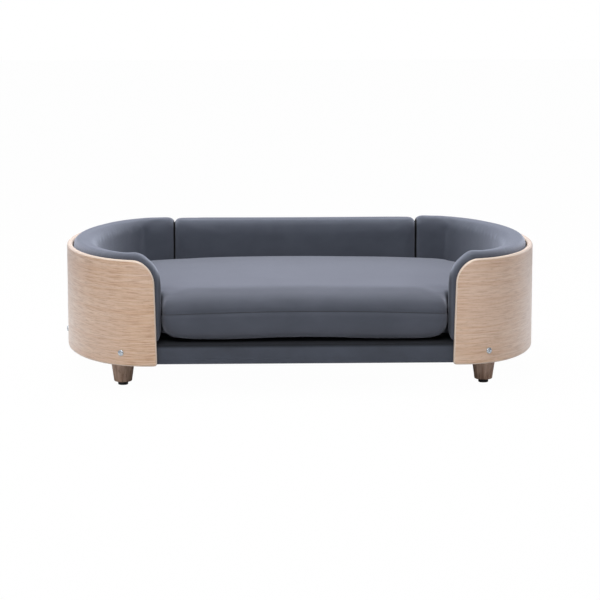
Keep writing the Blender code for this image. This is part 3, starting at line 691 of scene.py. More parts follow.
side_stop = HALF_RUN - BACK_JOINT + SPLIT_OVERRUN
back_start = HALF_RUN - BACK_JOINT - SPLIT_OVERRUN
back_stop = HALF_RUN + BACK_JOINT + SPLIT_OVERRUN
for name, start, stop, top, side, bends in (
    ("left", BOLSTER_TIP, side_stop, 0.2900, -1, True),
    ("right", BOLSTER_TIP, side_stop, 0.2915, 1, True),
    ("back", back_start, back_stop, 0.2885, 1, False),
):
    piece = make_bolster(name, start, stop, top, side, bends)
    print(piece.name, len(piece.data.polygons), "faces")

# %% [markdown]
# ## Seat cushion
# A thick foam block wrapped in wadding, in a cover of two panels joined by one seam half-way up.
# In plan it is a T: a body that fills the space inside the bolsters, and a front lobe between
# their tips. The top rolls over the front in a large round, and the underside lifts a little at
# the front, which leaves the shadow line above the base. The form is made from each point's
# distance to the plan outline, then inflated with the seam and the zip's edge held.

# %% Seat cushion
CUSHION_SIDE, CUSHION_FRONT = 0.0645, 0.3125
CUSHION_BOTTOM, CUSHION_TOP = 0.0976, 0.2150
LOBE_HALF, LOBE_CORNER, TIP_ROUND = 0.2945, 0.013, 0.016
CUSHION_SWELL, CUSHION_VOXEL = 0.0022, 0.0055
ZIP_HALF, ZIP_LEVEL, ZIP_FACE = 0.250, 0.126, 0.2510
FRONT_LIMIT = -0.3185


def cushion_plan():
    """The right half of the cushion's outline, from the middle of the front to the back."""
    points = [(x, -CUSHION_FRONT) for x in np.linspace(0, LOBE_HALF - LOBE_CORNER, 30)[:-1]]
    points += arc(LOBE_HALF - LOBE_CORNER, LOBE_CORNER - CUSHION_FRONT, LOBE_CORNER, -90, 90, 12)
    tip_y = CUSHION_SIDE - BED_DEPTH / 2
    points += arc(LOBE_HALF + TIP_ROUND, tip_y - TIP_ROUND, TIP_ROUND, 180, -90, 8)
    runs = np.linspace(HALF_STRAIGHT, HALF_STRAIGHT + END_LENGTH, 90)
    points += list(zip(*bend(runs, CUSHION_SIDE)))
    points += [(x, BED_DEPTH / 2 - CUSHION_SIDE) for x in np.linspace(HALF_STRAIGHT, 0, 30)[1:]]
    return points


right_half = cushion_plan()
outline = np.array(right_half + [(-x, y) for x, y in right_half[-2:0:-1]])


def edge_distance(points):
    """How far plan points are from the cushion's outline."""
    step = np.roll(outline, -1, axis=0) - outline
    size = np.maximum((step**2).sum(1), 1e-12)

    def nearest(block):
        to = block[:, None] - outline[None]
        share = np.clip((to * step[None]).sum(2) / size, 0, 1)
        return np.linalg.norm(to - share[..., None] * step[None], axis=2).min(1)

    return in_blocks(points, nearest)


def seam_level(x):
    """The seam's height: it bows up a little towards the middle of the front."""
    return 0.1585 + 0.0065 * np.cos(np.clip(np.abs(x) / 0.30, 0, 1) * math.pi / 2)


def roll(distance, reach, power):
    """Rises from 0 at the outline to 1 at the reach, in a rounded shoulder."""
    share = np.clip(1 - distance / reach, 0, 1)
    return (1 - share**power) ** (1 / power)


def top_level(x, y):
    """The filled top's height: highest in the middle, lower towards the ends and the back."""
    fall = 0.0175 * (np.abs(x) / 0.43) ** 3 + 0.006 * (np.maximum(y, 0) / 0.26) ** 2
    return CUSHION_TOP - 0.0045 - fall - 0.007 * (np.maximum(-y, 0) / 0.30) ** 2


def bottom_level(x, y):
    """The underside's height: flat on the base, and lifted in slow waves along the front."""
    front = np.clip((-y - 0.12) / 0.12, 0, 1)
    front = front * front * (3 - 2 * front)
    wave = 0.0020 * np.cos(math.pi * x / 0.19)
    wave = wave + 0.005 * np.clip((np.abs(x) - 0.23) / 0.06, 0, 1) ** 2
    return CUSHION_BOTTOM + front * (0.0068 + wave - 0.005 * x)


def cushion_form():
    """The cushion's start shape, as rings drawn in from the outline above and below the seam."""
    shares = 1 - np.array([0, 0.003, 0.008, 0.015, 0.025, 0.04, 0.06, 0.085, 0.115, 0.15, 0.19,
                           0.24, 0.3, 0.38, 0.5, 0.65, 0.8, 0.92])
    bm = bmesh.new()
    for way in (1, -1):
        rings = []
        for share in shares:
            ring = outline * share
            x, y = ring.T
            gap, front_gap = edge_distance(ring), y + CUSHION_FRONT
            back_share = np.clip((y + 0.27) / 0.06, 0, 1) ** 2
            seam = seam_level(x)
            if way > 0:
                rise = roll(gap, 0.013 + 0.021 * back_share, 2.3) * roll(front_gap, 0.075, 2.3)
                level = seam + (top_level(x, y) - seam) * rise
            else:
                rise = roll(gap, 0.026, 2.6) * roll(front_gap, 0.040, 2.6)
                level = seam - (seam - bottom_level(x, y)) * rise
            rings.append([bm.verts.new((*point, z)) for point, z in zip(ring, level)])
        middle = np.zeros(1)
        level = top_level(middle, middle) if way > 0 else bottom_level(middle, middle)
        centre = bm.verts.new((0, 0, float(level[0])))
        for i, vert in enumerate(rings[-1]):
            bm.faces.new((vert, rings[-1][(i + 1) % len(outline)], centre))
        bridge(bm, rings)
    bmesh.ops.remove_doubles(bm, verts=bm.verts[:], dist=1e-5)
    return outwards(bm)


cushion = remeshed(cushion_form(), "cushion", CUSHION_VOXEL)
points = points_of(cushion.data)
gap = edge_distance(points[:, :2])
off_seam = np.abs(points[:, 2] - seam_level(points[:, 0]))
on_side = gap < 0.012
held = np.where(on_side, np.clip(1.25 - off_seam / 0.004, 0, 1), 0.0)
near_zip = (np.abs(points[:, 0]) < 0.27) & (points[:, 1] > 0.235)
held = np.maximum(held, near_zip * np.clip((0.148 - points[:, 2]) / 0.008, 0, 1))
under = bottom_level(points[:, 0], points[:, 1]) + 0.004 - points[:, 2]
held = np.maximum(held, np.clip(under / 0.003, 0, 1) * 0.9)
points = swell(cushion, held, CUSHION_SWELL, pressure=4.0, stiffness=15.0)
points = relaxed(cushion.data, points, 10)
put_points(cushion.data, points)
subdivided(cushion)
print("cushion", len(cushion.data.polygons), "faces")

# %% [markdown]
# The seam draws the cover in: the panels fall into a soft valley on both sides of it, and short
# pulls run up and down from it. At the back the cover is drawn in flat behind the zip. This is
# done after the swelling, on the finer mesh.

# %% Cushion seam valley
VALLEY_DEPTH, VALLEY_REACH = 0.0024, 0.0055
PULL_DEPTH, WAVE_DEPTH = 0.0011, 0.0012
RECESS_HALF, RECESS_DEPTH = 0.0125, 0.0009
points = points_of(cushion.data)
gap = edge_distance(points[:, :2])
seam = seam_level(points[:, 0])
off = points[:, 2] - seam
plan_pull = np.clip(1 - gap / 0.03, 0, 1)
valley = VALLEY_DEPTH * np.exp(-((off / VALLEY_REACH) ** 2)) * plan_pull
normals = np.array([v.normal[:] for v in cushion.data.vertices])
ripple = np.array([
    noise.noise(Vector((x * 16, y * 16, z * 5 + 3.7)))
    + 0.5 * noise.noise(Vector((x * 37, y * 37, z * 9)))
    for x, y, z in points
])
near_seam = np.exp(-np.abs(off) / 0.022) * plan_pull
points -= normals * (valley + PULL_DEPTH * ripple * near_seam)[:, None]
soft_wave = np.array([noise.noise(Vector((x * 5 + 9, y * 5, z * 3))) for x, y, z in points])
points += normals * (WAVE_DEPTH * soft_wave)[:, None]
points[:, 2] = np.maximum(points[:, 2], CUSHION_BOTTOM)
above = np.maximum(0, np.abs(points[:, 2] - ZIP_LEVEL) - RECESS_HALF)
beside = np.maximum(0, np.abs(points[:, 0]) - ZIP_HALF - 0.003)
points[:, 1] = np.minimum(points[:, 1], ZIP_FACE - RECESS_DEPTH + 0.9 * (above + beside))
points[:, 1] = np.maximum(points[:, 1], FRONT_LIMIT)
put_points(cushion.data, points)
cushion_mesh = cushion.data
bpy.data.objects.remove(cushion)
seat_cushion = add_piece(
    cushion_mesh, "seat_cushion", [cushion_velvet], body="cushion",
    replaced=["cushion_cover_top", "cushion_cover_base", "cushion_foam"],
)
print("cushion box", points.min(0).round(4), points.max(0).round(4))

# %% [markdown]
# ## Cushion seam
# One seam goes all round the cushion. It shows as a thin dark line of thread sunk in the valley.
# Its path is found by looking in at the cushion from outside, at the seam's height.

# %% Cushion seam
SEAM_RADIUS, SEAM_SUNK, SEAM_PITCH = 0.00065, 0.00015, 0.004
surface = BVHTree.FromPolygons(
    [v.co[:] for v in cushion_mesh.vertices], [p.vertices[:] for p in cushion_mesh.polygons]
)


def outline_normals(loop):
    ahead, behind = np.roll(loop, -1, axis=0), np.roll(loop, 1, axis=0)
    step = ahead - behind
    way = np.stack([step[:, 1], -step[:, 0]], 1)
    return way / np.linalg.norm(way, axis=1)[:, None]


def even_loop(loop, spacing):
    """The closed plan loop at even spacing."""
    closed = np.vstack([loop, loop[:1]])
    length = np.concatenate([[0], np.cumsum(np.linalg.norm(np.diff(closed, axis=0), axis=1))])
    at = np.linspace(0, length[-1], int(length[-1] / spacing) + 1)[:-1]
    return np.stack([np.interp(at, length, closed[:, i]) for i in (0, 1)], 1)


def cord_ring(path, radius, sides):
    """A round cord along a closed path of points."""
    bm = bmesh.new()
    rings = []
    for i, point in enumerate(path):
        along = (path[(i + 1) % len(path)] - path[i - 1]).normalized()
        across = along.cross(Vector((0, 0, 1))).normalized()
        up = across.cross(along)
        ring = [point + (across * math.cos(a) + up * math.sin(a)) * radius
                for a in np.linspace(0, 2 * math.pi, sides + 1)[:-1]]
        rings.append([bm.verts.new(corner) for corner in ring])
    bridge(bm, rings + rings[:1])
    return outwards(bm)


loop = even_loop(outline, SEAM_PITCH)
seam_path = []
for (x, y), (nx, ny) in zip(loop, outline_normals(loop)):
    start, inward = Vector((x + nx * 0.03, y + ny * 0.03, seam_level(x))), Vector((-nx, -ny, 0))
    hit = surface.ray_cast(start, inward, 0.08)[0]
    if hit is not None:
        seam_path.append(hit + inward * SEAM_SUNK)
seam_cord = cord_ring(seam_path, SEAM_RADIUS, 6)
add_piece(seam_cord, "cushion_seam", [seam_thread], body="cushion")
print("seam points", len(seam_path))

# %% [markdown]
# ## Base cover
# Velvet is pulled over the base's top and sides, turned under its rim and stapled. The front
# shows a soft top edge and a hem line low down. The skin is lofted from one level outline to the
# next, with a slow waver, and closed by an inner skin one fabric thickness inside.

# %% Base cover
BASE_BOTTOM, BASE_RIM, COVER_OUTSIDE, LIP_INSIDE = 0.0575, 0.0970, 0.013, 0.038
FABRIC = 0.0012


def base_outline(inset, spacing=0.006):
    runs = np.arange(HALF_STRAIGHT, HALF_STRAIGHT + END_LENGTH + 1e-9, spacing)
    straight = np.linspace(0, HALF_STRAIGHT, 40)[:-1]
    back = HALF_STRAIGHT + END_LENGTH + np.linspace(0, HALF_STRAIGHT, 40)
    runs = np.concatenate([straight, runs, back])
    xs, ys = bend(runs, inset)
    right = np.stack([xs, ys], 1)
    left = right[-2:0:-1] * (-1, 1)
    return np.vstack([right, left])


def base_profile(skin):
    """Inset and height of each ring, from the lip's inner edge round to the top."""
    ease, crown = 0.0022, 0.0065
    low, out, top = BASE_BOTTOM + skin, COVER_OUTSIDE + skin, BASE_RIM - skin
    profile = [(LIP_INSIDE, low), (out + 0.010, low)]
    profile += arc(out + ease, low + ease, ease, 270, -90, 4)
    profile += [(out, low + 0.0035), (out + 0.0002, low + 0.0042), (out + 0.0002, low + 0.0046)]
    profile += [(out, low + 0.0053), (out - 0.0003, low + 0.012), (out - 0.0004, low + 0.020)]
    profile += arc(out + crown, top - crown, crown, 180, -90, 6)
    profile += [(out + 0.012, top), (out + 0.03, top), (out + 0.06, top)]
    return profile


def base_skin(bm, skin):
    rings = []
    for inset, level in base_profile(skin):
        ring = base_outline(inset)
        wave = [0.0003 * noise.noise(Vector((x * 11, y * 11, level * 30))) for x, y in ring]
        facing = outline_normals(ring)
        if abs(level - BASE_RIM) < 0.004 or inset > COVER_OUTSIDE + 0.009:
            wave = [0.0] * len(ring)
        rings.append([
            bm.verts.new((x + nx * w, y + ny * w, level))
            for (x, y), (nx, ny), w in zip(ring, facing, wave)
        ])
    bridge(bm, rings)
    inner = [rings[-1]]
    for share in (0.85, 0.65, 0.4, 0.15):
        inner.append([
            bm.verts.new((v.co.x * share, v.co.y * share, v.co.z)) for v in rings[-1]
        ])
    bridge(bm, inner)
    bm.faces.new(inner[-1])
    return rings[0]


bm = bmesh.new()
outer_lip, inner_lip = base_skin(bm, 0), base_skin(bm, FABRIC)
bridge(bm, [outer_lip, inner_lip])
base_piece = add_piece(
    outwards(bm), "base_upholstery", [base_velvet],
    replaced=["base_cover", "base_foam"],
)

# %% [markdown]
# ## Turned oak legs
# Short tapered pegs, turned from solid oak and stained a little darker than the shell, with
# their grain upright. Each stands on a black nail-on glide.

# %% Leg materials
leg_oak, tree, shader = start_material("turned_oak", Roughness=0.5, Coat_Weight=0.08)
place = add(tree, "ShaderNodeTexCoord").outputs["Object"]
rings, pores, tone = (
    grain(tree, place, scale, detail, 0.6)
    for scale, detail in (((95, 95, 7), 3.0), ((520, 520, 26), 2.0), ((24, 24, 12), 2.0))
)
wood = layered(tree, "977663", "c4a692", rings, (0.36, 0.64))
wood = layered(tree, wood, "c0a591", tone, (0.4, 0.7), 0.4)
wood = layered(tree, wood, "4d382a", pores, (0.58, 0.7), 0.6)
dress(tree, shader, wood, pores, (0.3, 0.0003))
black_nylon = two_tone(
    "black_nylon", "08080a", "17171a", "Noise", {"Scale": 900.0, "Detail": 2.0},
    relief=(0.2, 0.0001), Roughness=0.42,
)

# %% Legs and glides
LEG_TURN, LEG_INSET = math.radians(36.9), 0.0663
LEG_SIDES = 72


def lathe(profile, sides):
    """A turned solid from (radius, z) points that start and end on the axis."""
    bm = bmesh.new()
    rings = []
    for radius, z in profile[1:-1]:
        rings.append([
            bm.verts.new((radius * math.cos(a), radius * math.sin(a), z))
            for a in np.linspace(0, 2 * math.pi, sides + 1)[:-1]
        ])
    bridge(bm, rings)
    for (_, z), ring in ((profile[0], rings[0]), (profile[-1], rings[-1])):
        centre = bm.verts.new((0, 0, z))
        for i, vert in enumerate(ring):
            bm.faces.new((vert, ring[(i + 1) % sides], centre))
    return outwards(bm)


def leg_profile():
    top, bottom = 0.0587, 0.0073
    wide, narrow, ease = 0.0255, 0.0188, 0.0030
    profile = [(0, top), (wide - 0.002, top)]
    profile += arc(wide - 0.0008, top - 0.0008, 0.0008, 90, -90, 3)
    for share in np.linspace(0.05, 0.95, 10):
        radius = wide + (narrow - wide) * share
        profile.append((radius, top - 0.0016 + (bottom + ease - top + 0.0016) * share))
    profile += arc(narrow - ease, bottom + ease, ease, -4, -86, 5)
    return profile + [(narrow - ease - 0.002, bottom), (0, bottom)]


def glide_profile():
    height, radius, ease = 0.0070, 0.0105, 0.0018
    profile = [(0, height), (radius - 0.001, height)]
    profile += arc(radius - 0.0005, height - 0.0005, 0.0005, 90, -90, 2)
    profile += arc(radius - ease, ease, ease, 0, -90, 5)
    return profile + [(radius - 0.004, 0.0), (0, 0.0002)]


leg_x, leg_y = bend(run_of_turn(LEG_TURN), LEG_INSET)
for end, way in (("front", 1), ("rear", -1)):
    for name, side in SIDES.items():
        for part, profile, finish, slot in (
            ("leg", leg_profile(), leg_oak, "leg_oak"),
            ("glide", glide_profile(), black_nylon, "black_nylon"),
        ):
            bm = lathe(profile, LEG_SIDES)
            bmesh.ops.translate(bm, vec=(side * leg_x, way * leg_y, 0), verts=bm.verts)
            key = f"{end}_{name}_turned_{part}"
            add_piece(bm, key, [finish], replaced=[f"{end}_{name}_{part}"])

# %% [markdown]
# ## Shell bolts
# Zinc-plated pan-head machine screws hold the shell to the base. The plating is bright, with a
# bluish cast and fine rub marks. The head is turned, and the cross recess is cut with tapered
# wings.

# %% Zinc
zinc_steel = two_tone(
    "zinc_steel", "aab4bf", "dde2e6", "Noise", {"Scale": 420.0, "Detail": 4.0},
    gloss=(0.16, 0.36), Metallic=1.0, Roughness=0.24,
)

# %% Shell bolts
BOLT_LEVEL, BOLT_TURN = 0.082, math.radians(17.35)
HEAD_RADIUS, HEAD_HEIGHT = 0.0064, 0.0038
SHANK_RADIUS, SHANK_LENGTH = 0.0030, 0.028


def wing(width, depth, length, top):
    """A tapered bar across the head, which cuts one slot of the cross."""
    bm = bmesh.new()
    corners = []
    for z, share in ((top, 1.0), (top - depth, 0.45)):
        half, thick = length / 2 * share, width / 2 * (0.7 + 0.3 * share)
        corners.append([bm.verts.new(p) for p in (
            (-half, -thick, z), (half, -thick, z), (half, thick, z), (-half, thick, z))])
    solid(bm, corners)
    return outwards(bm)


def bolt_mesh():
    """A pan head with a cross recess on its shank, pointing along Z."""
    profile = [(0, HEAD_HEIGHT)]
    profile += [(HEAD_RADIUS * math.sin(a), HEAD_HEIGHT * (0.30 + 0.70 * math.cos(a) ** 0.8))
                for a in np.linspace(0.12, 1.45, 9)]
    profile += [(HEAD_RADIUS, 0.0010), (HEAD_RADIUS, 0.0002), (SHANK_RADIUS, 0.0002)]
    profile += [(SHANK_RADIUS, -SHANK_LENGTH), (0, -SHANK_LENGTH)]
    head = new_object("head", mesh_of(lathe(profile, 48), "head"))
    cutters = []
    for turn in (0, math.pi / 2):
        bm = wing(0.0015, 0.0026, 0.0076, HEAD_HEIGHT + 0.0004)
        bmesh.ops.rotate(bm, matrix=Matrix.Rotation(turn, 3, "Z"), verts=bm.verts)
        cutter = new_object("cutter", mesh_of(bm, "cutter"))
        slot = head.modifiers.new("Slot", "BOOLEAN")
        slot.operation, slot.solver, slot.object = "DIFFERENCE", "EXACT", cutter
        cutters.append(cutter)
    mesh = applied(head)
    for obj in (head, *cutters):
        bpy.data.objects.remove(obj)
    return mesh


bolt_data = bolt_mesh()
for place, turn, twist in (
    ("front", BOLT_TURN, 0.5), ("end", math.pi / 2, 0.2), ("rear", math.pi - BOLT_TURN, 0.9)
):
    for name, side in SIDES.items():
        run = run_of_turn(turn)
        x, y = bend(run, 0.0, side)
        inner_x, inner_y = bend(run, 0.01, side)
        outward = Vector((float(x - inner_x), float(y - inner_y), 0)).normalized()
        spin = Matrix.Rotation(twist + side * 0.2, 4, "Z")
        turned = Vector((0, 0, 1)).rotation_difference(outward).to_matrix().to_4x4()
        mesh = bolt_data.copy()
        mesh.transform(Matrix.Translation((float(x), float(y), BOLT_LEVEL)) @ turned @ spin)
        add_piece(
            mesh, f"{place}_{name}_pan_head_bolt", [zinc_steel],
            replaced=[f"{place}_{name}_shell_bolt"],
        )
        mesh.set_sharp_from_angle(angle=math.radians(40))

# %% [markdown]
# ## Dust cover
# Thin black non-woven cloth closes the underside, so that nothing falls out of the base. It is
# stretched over the rim with holes for the legs, and held by staples all round.

# %% Dust cover
dust_cloth = two_tone(
    "dust_cover_cloth", "141416", "2e2e32", "Noise", {"Scale": 90.0, "Detail": 5.0},
    Roughness=0.95,
)
tree = dust_cloth.node_tree
web = add(tree, "ShaderNodeTexVoronoi", {"feature": "DISTANCE_TO_EDGE"}, {
    "Vector": add(tree, "ShaderNodeTexCoord").outputs["Object"], "Scale": 420.0})
felted = add(tree, "ShaderNodeBump", None, {
    "Strength": 0.5, "Distance": 0.0003, "Height": web.outputs["Distance"]})
tree.links.new(felted.outputs[0], tree.nodes["Principled BSDF"].inputs["Normal"])
DUST_SETBACK, DUST_LEVEL, DUST_THICK, LEG_HOLE = 0.023, 0.0566, 0.0006, 0.0275


def dust_sheet():
    """The sheet's top and bottom faces with leg holes, filled as a flat curve."""
    curve = bpy.data.curves.new("dust", "CURVE")
    curve.dimensions, curve.fill_mode, curve.extrude = "2D", "BOTH", DUST_THICK / 2
    loops = [base_outline(DUST_SETBACK, 0.010)]
    for way in (1, -1):
        for side in (1, -1):
            loops.append(np.array(arc(side * leg_x, way * leg_y, LEG_HOLE, 0, 360, 48)[:-1]))
    for points in loops:
        spline = curve.splines.new("POLY")
        spline.points.add(len(points) - 1)
        for place, (x, y) in zip(spline.points, points):
            place.co = (float(x), float(y), 0, 1)
        spline.use_cyclic_u = True
    obj = new_object("dust", curve)
    bm = bmesh.new()
    bm.from_mesh(applied(obj))
    bpy.data.objects.remove(obj)
    bmesh.ops.remove_doubles(bm, verts=bm.verts, dist=1e-6)
    bmesh.ops.translate(bm, vec=(0, 0, DUST_LEVEL + DUST_THICK / 2), verts=bm.verts)
    return outwards(bm)


bm = dust_sheet()
flat_area = sum(face.calc_area() for face in bm.faces if abs(face.normal.z) > 0.9) / 2
dust_piece = add_piece(
    bm, "dust_cloth", [dust_cloth], replaced=["dust_cover"], smooth=False
)

# %% [markdown]
# The staples are 10 mm crowns of flattened wire, one every 35 mm. Geometry Nodes puts a small
# bar at each point of the outline, turned along it.

# %% Staples
STAPLE_CROWN, STAPLE_WIRE, STAPLE_PITCH = 0.010, 0.0009, 0.035


def scatter(name, path, closed, sizes, material, build):
    """A plain mesh of one small shape repeated along a path. build(tree, inputs) returns the
    shape's output socket, and sizes are the named size inputs of the tree."""
    tree = bpy.data.node_groups.new(f"{name}_nodes", "GeometryNodeTree")
    face = tree.interface
    face.new_socket("Geometry", in_out="INPUT", socket_type="NodeSocketGeometry")
    face.new_socket("Geometry", in_out="OUTPUT", socket_type="NodeSocketGeometry")
    ids = {}
    for key in sizes:
        ids[key] = face.new_socket(key, in_out="INPUT", socket_type="NodeSocketFloat").identifier
    inlet = add(tree, "NodeGroupInput")
    curve = add(tree, "GeometryNodeMeshToCurve", None, {"Mesh": inlet.outputs["Geometry"]})
    spaced = add(tree, "GeometryNodeResampleCurve", {"mode": "LENGTH"}, {
        "Curve": curve.outputs[0], "Length": inlet.outputs["Pitch"]})
    tangent = add(tree, "GeometryNodeInputTangent")
    turned = add(tree, "FunctionNodeAlignRotationToVector", {"axis": "X"}, {
        "Vector": tangent.outputs[0]})
    copies = add(tree, "GeometryNodeInstanceOnPoints", None, {
        "Points": spaced.outputs[0], "Instance": build(tree, inlet.outputs),
        "Rotation": turned.outputs[0]})
    real = add(tree, "GeometryNodeRealizeInstances", None, {"Geometry": copies.outputs[0]})
    dressed = add(tree, "GeometryNodeSetMaterial", None, {
        "Geometry": real.outputs[0], "Material": material})
    add(tree, "NodeGroupOutput", None, {"Geometry": dressed.outputs[0]})
    guide = bpy.data.meshes.new(name)
    links = [(i, i + 1) for i in range(len(path) - 1)] + ([(len(path) - 1, 0)] if closed else [])
    guide.from_pydata([tuple(map(float, point)) for point in path], links, [])
    obj = new_object(name, guide)
    nodes = obj.modifiers.new("Repeat", "NODES")
    nodes.node_group = tree
    for key, value in sizes.items():
        nodes[ids[key]] = value
    mesh = applied(obj)
    bpy.data.objects.remove(obj)
    return mesh


def bar(tree, inputs):
    """A small box lying along X."""
    size = add(tree, "ShaderNodeCombineXYZ", None, {
        "X": inputs["Length"], "Y": inputs["Thickness"], "Z": inputs["Height"]})
    box = add(tree, "GeometryNodeMeshCube", None, {
        "Size": size.outputs[0], "Vertices X": 4, "Vertices Y": 2, "Vertices Z": 2})
    return box.outputs["Mesh"]


staple_ring = base_outline(DUST_SETBACK + 0.006, 0.010)
staple_path = [(x, y, DUST_LEVEL - 0.0002) for x, y in staple_ring]
staples = scatter("staples", staple_path, True, {
    "Pitch": STAPLE_PITCH, "Length": STAPLE_CROWN, "Thickness": STAPLE_WIRE, "Height": 0.0006,
}, zinc_steel, bar)
staple_piece = add_piece(
    staples, "dust_cover_staples", [zinc_steel], smooth=False
)
print("staples", len(staples.polygons), "faces, dust cover", round(flat_area, 4), "m2")

# %% [markdown]
# ## Zip
# A nylon coil zip closes the cushion's cover at the back: two woven tapes, a row of coil teeth,
# two rows of stitching, and a zinc slider.

# %% Zip materials
zip_tape = two_tone(
    "zip_tape", "31353e", "454a55", "Wave", {"Scale": 300.0, "Distortion": 0.6},
    {"wave_type": "BANDS", "bands_direction": "Z"}, relief=(0.4, 0.0002),
    Roughness=0.85, Sheen_Weight=0.3,
)
coil_nylon = two_tone(
    "coil_nylon", "2b2f37", "3f444e", "Noise", {"Scale": 60.0, "Detail": 3.0}, Roughness=0.38
)

# %% Zip
TAPE_HALF, TEETH_HALF = 0.0115, 0.0030
bm = bmesh.new()
for sign in (1, -1):
    near, far = sign * 0.0004, sign * TAPE_HALF
    rows = []
    for x in np.linspace(-ZIP_HALF + 0.0004, ZIP_HALF - 0.0004, 126):
        sway = 0.00015 * math.sin(x * 90 + sign)
        rows.append([bm.verts.new((x, ZIP_FACE + y, ZIP_LEVEL + z)) for y, z in (
            (0.0 + sway, near), (0.0 + sway, far), (-0.0011, far), (-0.0011, near))])
    solid(bm, rows)
add_piece(
    outwards(bm), "zip_tapes", [zip_tape], body="cushion",
    replaced=["cushion_zip"], smooth=False,
)


def coil(tree, inputs):
    """One turn of the coil: a short rounded peg across the tapes."""
    peg = add(tree, "GeometryNodeMeshCylinder", None, {
        "Vertices": 8, "Radius": inputs["Thickness"], "Depth": inputs["Length"]})
    return peg.outputs["Mesh"]


teeth_path = [(x, ZIP_FACE + 0.0005, ZIP_LEVEL) for x in (-ZIP_HALF + 0.001, ZIP_HALF - 0.001)]
teeth = scatter("zip_coil", teeth_path, False, {
    "Pitch": 0.0014, "Length": 2 * TEETH_HALF, "Thickness": 0.0006,
}, coil_nylon, coil)
add_piece(teeth, "zip_coil", [coil_nylon], body="cushion")
for sign, key in ((1, "upper"), (-1, "lower")):
    stitch_path = [(x, ZIP_FACE + 0.0001, ZIP_LEVEL + sign * 0.0095)
                   for x in (-ZIP_HALF + 0.002, ZIP_HALF - 0.002)]
    stitches = scatter(f"zip_stitches_{key}", stitch_path, False, {
        "Pitch": 0.0035, "Length": 0.0026, "Thickness": 0.0005, "Height": 0.0005,
    }, seam_thread, bar)
    add_piece(stitches, f"zip_stitches_{key}", [seam_thread], body="cushion", smooth=False)

# %% [markdown]
# The slider is a die-cast wedge that straddles the coil, with a low bridge along its back. It is
# the kind without a pull, which upholstery covers have.

# %% Zip slider
slider_low, slider_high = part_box("zip_slider")
slider_centre = (slider_low + slider_high) / 2


def slab(bm, outline_points, near, far, ease):
    """A plate whose outline lies in x and z, from near to far in y, eased on its far side."""
    middle = Vector((
        sum(x for x, _ in outline_points) / len(outline_points),
        sum(z for _, z in outline_points) / len(outline_points),
    ))
    rings = []
    for y, inset in ((near, 0.0), (far - ease, 0.0), (far - ease * 0.3, ease * 0.3), (far, ease)):
        ring = []
        for x, z in outline_points:
            away = Vector((x, z)) - middle
            point = middle + away * (1 - inset / max(away.length, 1e-6))
            ring.append(bm.verts.new((point.x, y, point.y)))
        rings.append(ring)
    solid(bm, rings)


bm = bmesh.new()
cx, cz = slider_centre.x, slider_centre.z
wedge = arc(cx - 0.0020, cz, 0.0040, 90, 180, 8)
wedge += [(cx + 0.0059, cz - 0.0051), (cx + 0.0059, cz - 0.0018), (cx + 0.0035, cz)]
wedge += [(cx + 0.0059, cz + 0.0018), (cx + 0.0059, cz + 0.0051)]
slab(bm, wedge, slider_low.y + 0.0009, slider_low.y + 0.0022, 0.0004)
ridge = arc(cx - 0.0030, cz, 0.0012, 90, 180, 5) + arc(cx + 0.0025, cz, 0.0012, -90, 180, 5)
slab(bm, ridge, slider_low.y + 0.0021, slider_low.y + 0.0034, 0.0003)
slider_piece = add_piece(
    outwards(bm), "zip_slider_body", [zinc_steel], body="slider",
    replaced=["zip_slider"],
)
slider_piece.data.set_sharp_from_angle(angle=math.radians(35))

# %% [markdown]
# ## Hidden pieces
# The frame's own solids stay where the shape is already right and is out of sight: boards,
# battens, rails, deck, leg blocks, hanger bolts, inserts and the hook-and-loop strips. They get
# real materials too. Softwood shows pale growth lines along each rail, the plywood board a
# speckled face, and the hook-and-loop strip a dense field of loops.

# %% Hidden materials
softwood = two_tone(
    "softwood", "c79f6b", "e3c795", "Noise", {"Scale": 1.0, "Detail": 3.0},
    stretch=(9, 60, 160), span=(0.38, 0.62), relief=(0.3, 0.0004), Roughness=0.7,
)
plywood_board = two_tone(
    "plywood_board", "a98458", "cfb083", "Noise", {"Scale": 1.0, "Detail": 4.0},
    stretch=(14, 90, 90), relief=(0.3, 0.0003), Roughness=0.75,
)
hook_and_loop = two_tone(
    "hook_and_loop", "101113", "33353a", "Voronoi", {"Scale": 900.0},
    relief=(0.8, 0.0006), Roughness=0.9, Sheen_Weight=0.5,
)
HIDDEN = {
    "rail": softwood, "rim": softwood, "leg_block": softwood, "deck": plywood_board,
    "board": plywood_board, "batten": plywood_board, "grip_strip": hook_and_loop,
    "hanger_bolt": zinc_steel, "threaded_insert": zinc_steel,
}
dressed = []
for name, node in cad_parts.items():
    for ending, finish in HIDDEN.items():
        if name.endswith(ending):
            for slot in node.material_slots:
                slot.material = finish
            dressed.append(name)
print("frame nodes kept", len(dressed))

# %% [markdown]
# ## Floor, light and camera
# A white studio: a pale floor that runs into a white surround, which is bright behind the bed
# and dim in front of it, one broad soft light above, one at the front, and weak fills at the
# sides that put pale reflections on the shell's ends. The camera sees floor and surround white.

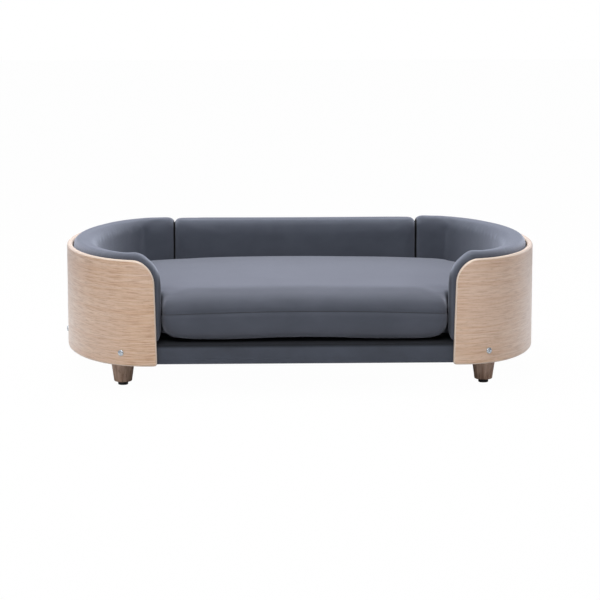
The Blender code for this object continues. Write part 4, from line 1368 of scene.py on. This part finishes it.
# %% Studio
FLOOR_WHITE, SURROUND_FRONT, SURROUND_BACK = 0.985, 0.20, 0.95
floor_paint, tree, shader = start_material("studio_floor", Roughness=0.9)
shader.inputs["Base Color"].default_value = linear("d8d8d8")
white = add(tree, "ShaderNodeEmission", None, {"Color": (1, 1, 1, 1), "Strength": 1.0})
seen = add(tree, "ShaderNodeLightPath")
faded = add(tree, "ShaderNodeMath", {"operation": "MULTIPLY"}, {
    0: seen.outputs["Is Camera Ray"], 1: FLOOR_WHITE})
blend = add(tree, "ShaderNodeMixShader", None, {
    0: faded.outputs[0], 1: shader.outputs[0], 2: white.outputs[0]})
tree.links.new(blend.outputs[0], tree.nodes["Material Output"].inputs["Surface"])
bm = bmesh.new()
bmesh.ops.create_grid(bm, x_segments=2, y_segments=2, size=12)
floor = new_object("studio_floor", mesh_of(bm, "studio_floor"))
floor.data.materials.append(floor_paint)
floor.location.z = -0.0005
floor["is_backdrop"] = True

world = bpy.data.worlds.new("studio")
world.use_nodes = True
tree = world.node_tree
background = tree.nodes["Background"]
seen = add(tree, "ShaderNodeLightPath")
way = add(tree, "ShaderNodeSeparateXYZ", None, {
    0: add(tree, "ShaderNodeTexCoord").outputs["Generated"]})
behind = add(tree, "ShaderNodeMapRange", {"interpolation_type": "SMOOTHSTEP"}, {
    "Value": way.outputs["Y"], "From Min": 0.35, "From Max": 0.85, "To Min": SURROUND_FRONT,
    "To Max": SURROUND_BACK})
level = add(tree, "ShaderNodeMapRange", None, {
    "Value": seen.outputs["Is Camera Ray"], "To Min": behind.outputs[0], "To Max": 1.0})
tree.links.new(level.outputs[0], background.inputs["Strength"])
tint = add(tree, "ShaderNodeMix", {"data_type": "RGBA"}, {
    0: behind.outputs[0], 6: (1.0, 1.0, 1.0, 1), 7: (0.98, 0.98, 1.15, 1)})
shown = add(tree, "ShaderNodeMix", {"data_type": "RGBA"}, {
    0: seen.outputs["Is Camera Ray"], 6: tint.outputs[2], 7: (1.0, 1.0, 1.0, 1)})
tree.links.new(shown.outputs[2], background.inputs["Color"])
bpy.context.scene.world = world


def area_light(name, place, target, size, watts):
    data = bpy.data.lights.new(name, "AREA")
    data.shape, data.size, data.size_y, data.energy = "RECTANGLE", *size, watts
    obj = new_object(name, data)
    obj.location = place
    obj.rotation_mode = "QUATERNION"
    obj.rotation_quaternion = (Vector(target) - Vector(place)).to_track_quat("-Z", "Y")


area_light("top", (-0.2, 0.3, 2.4), (0, 0, 0.2), (2.6, 2.0), 70)
area_light("front", (-0.9, -3.6, 3.0), (0, 0, 0.15), (3.0, 1.6), 82)
area_light("left", (-3.2, -1.0, 1.2), (-0.4, 0, 0.15), (2.4, 2.0), 8)
area_light("right", (2.4, -2.6, 2.0), (0.0, 0, 0.15), (2.0, 1.6), 14)
area_light("right edge", (3.0, 1.6, 0.9), (0.4, 0, 0.15), (2.0, 1.8), 8)

# %% Camera
camera_data = bpy.data.cameras.new("camera")
camera_data.lens, camera_data.sensor_width = 146.1, 36
camera = new_object("camera", camera_data)
camera.location = (-0.1959, -5.213, 0.947)
camera.rotation_euler = (math.radians(81.217), 0, math.radians(-2.159))
bpy.context.scene.camera = camera
bpy.context.scene.view_settings.view_transform = "Standard"

# %% Sizes
low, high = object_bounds()
print("visual", [round(value, 4) for value in (*low, *high)])
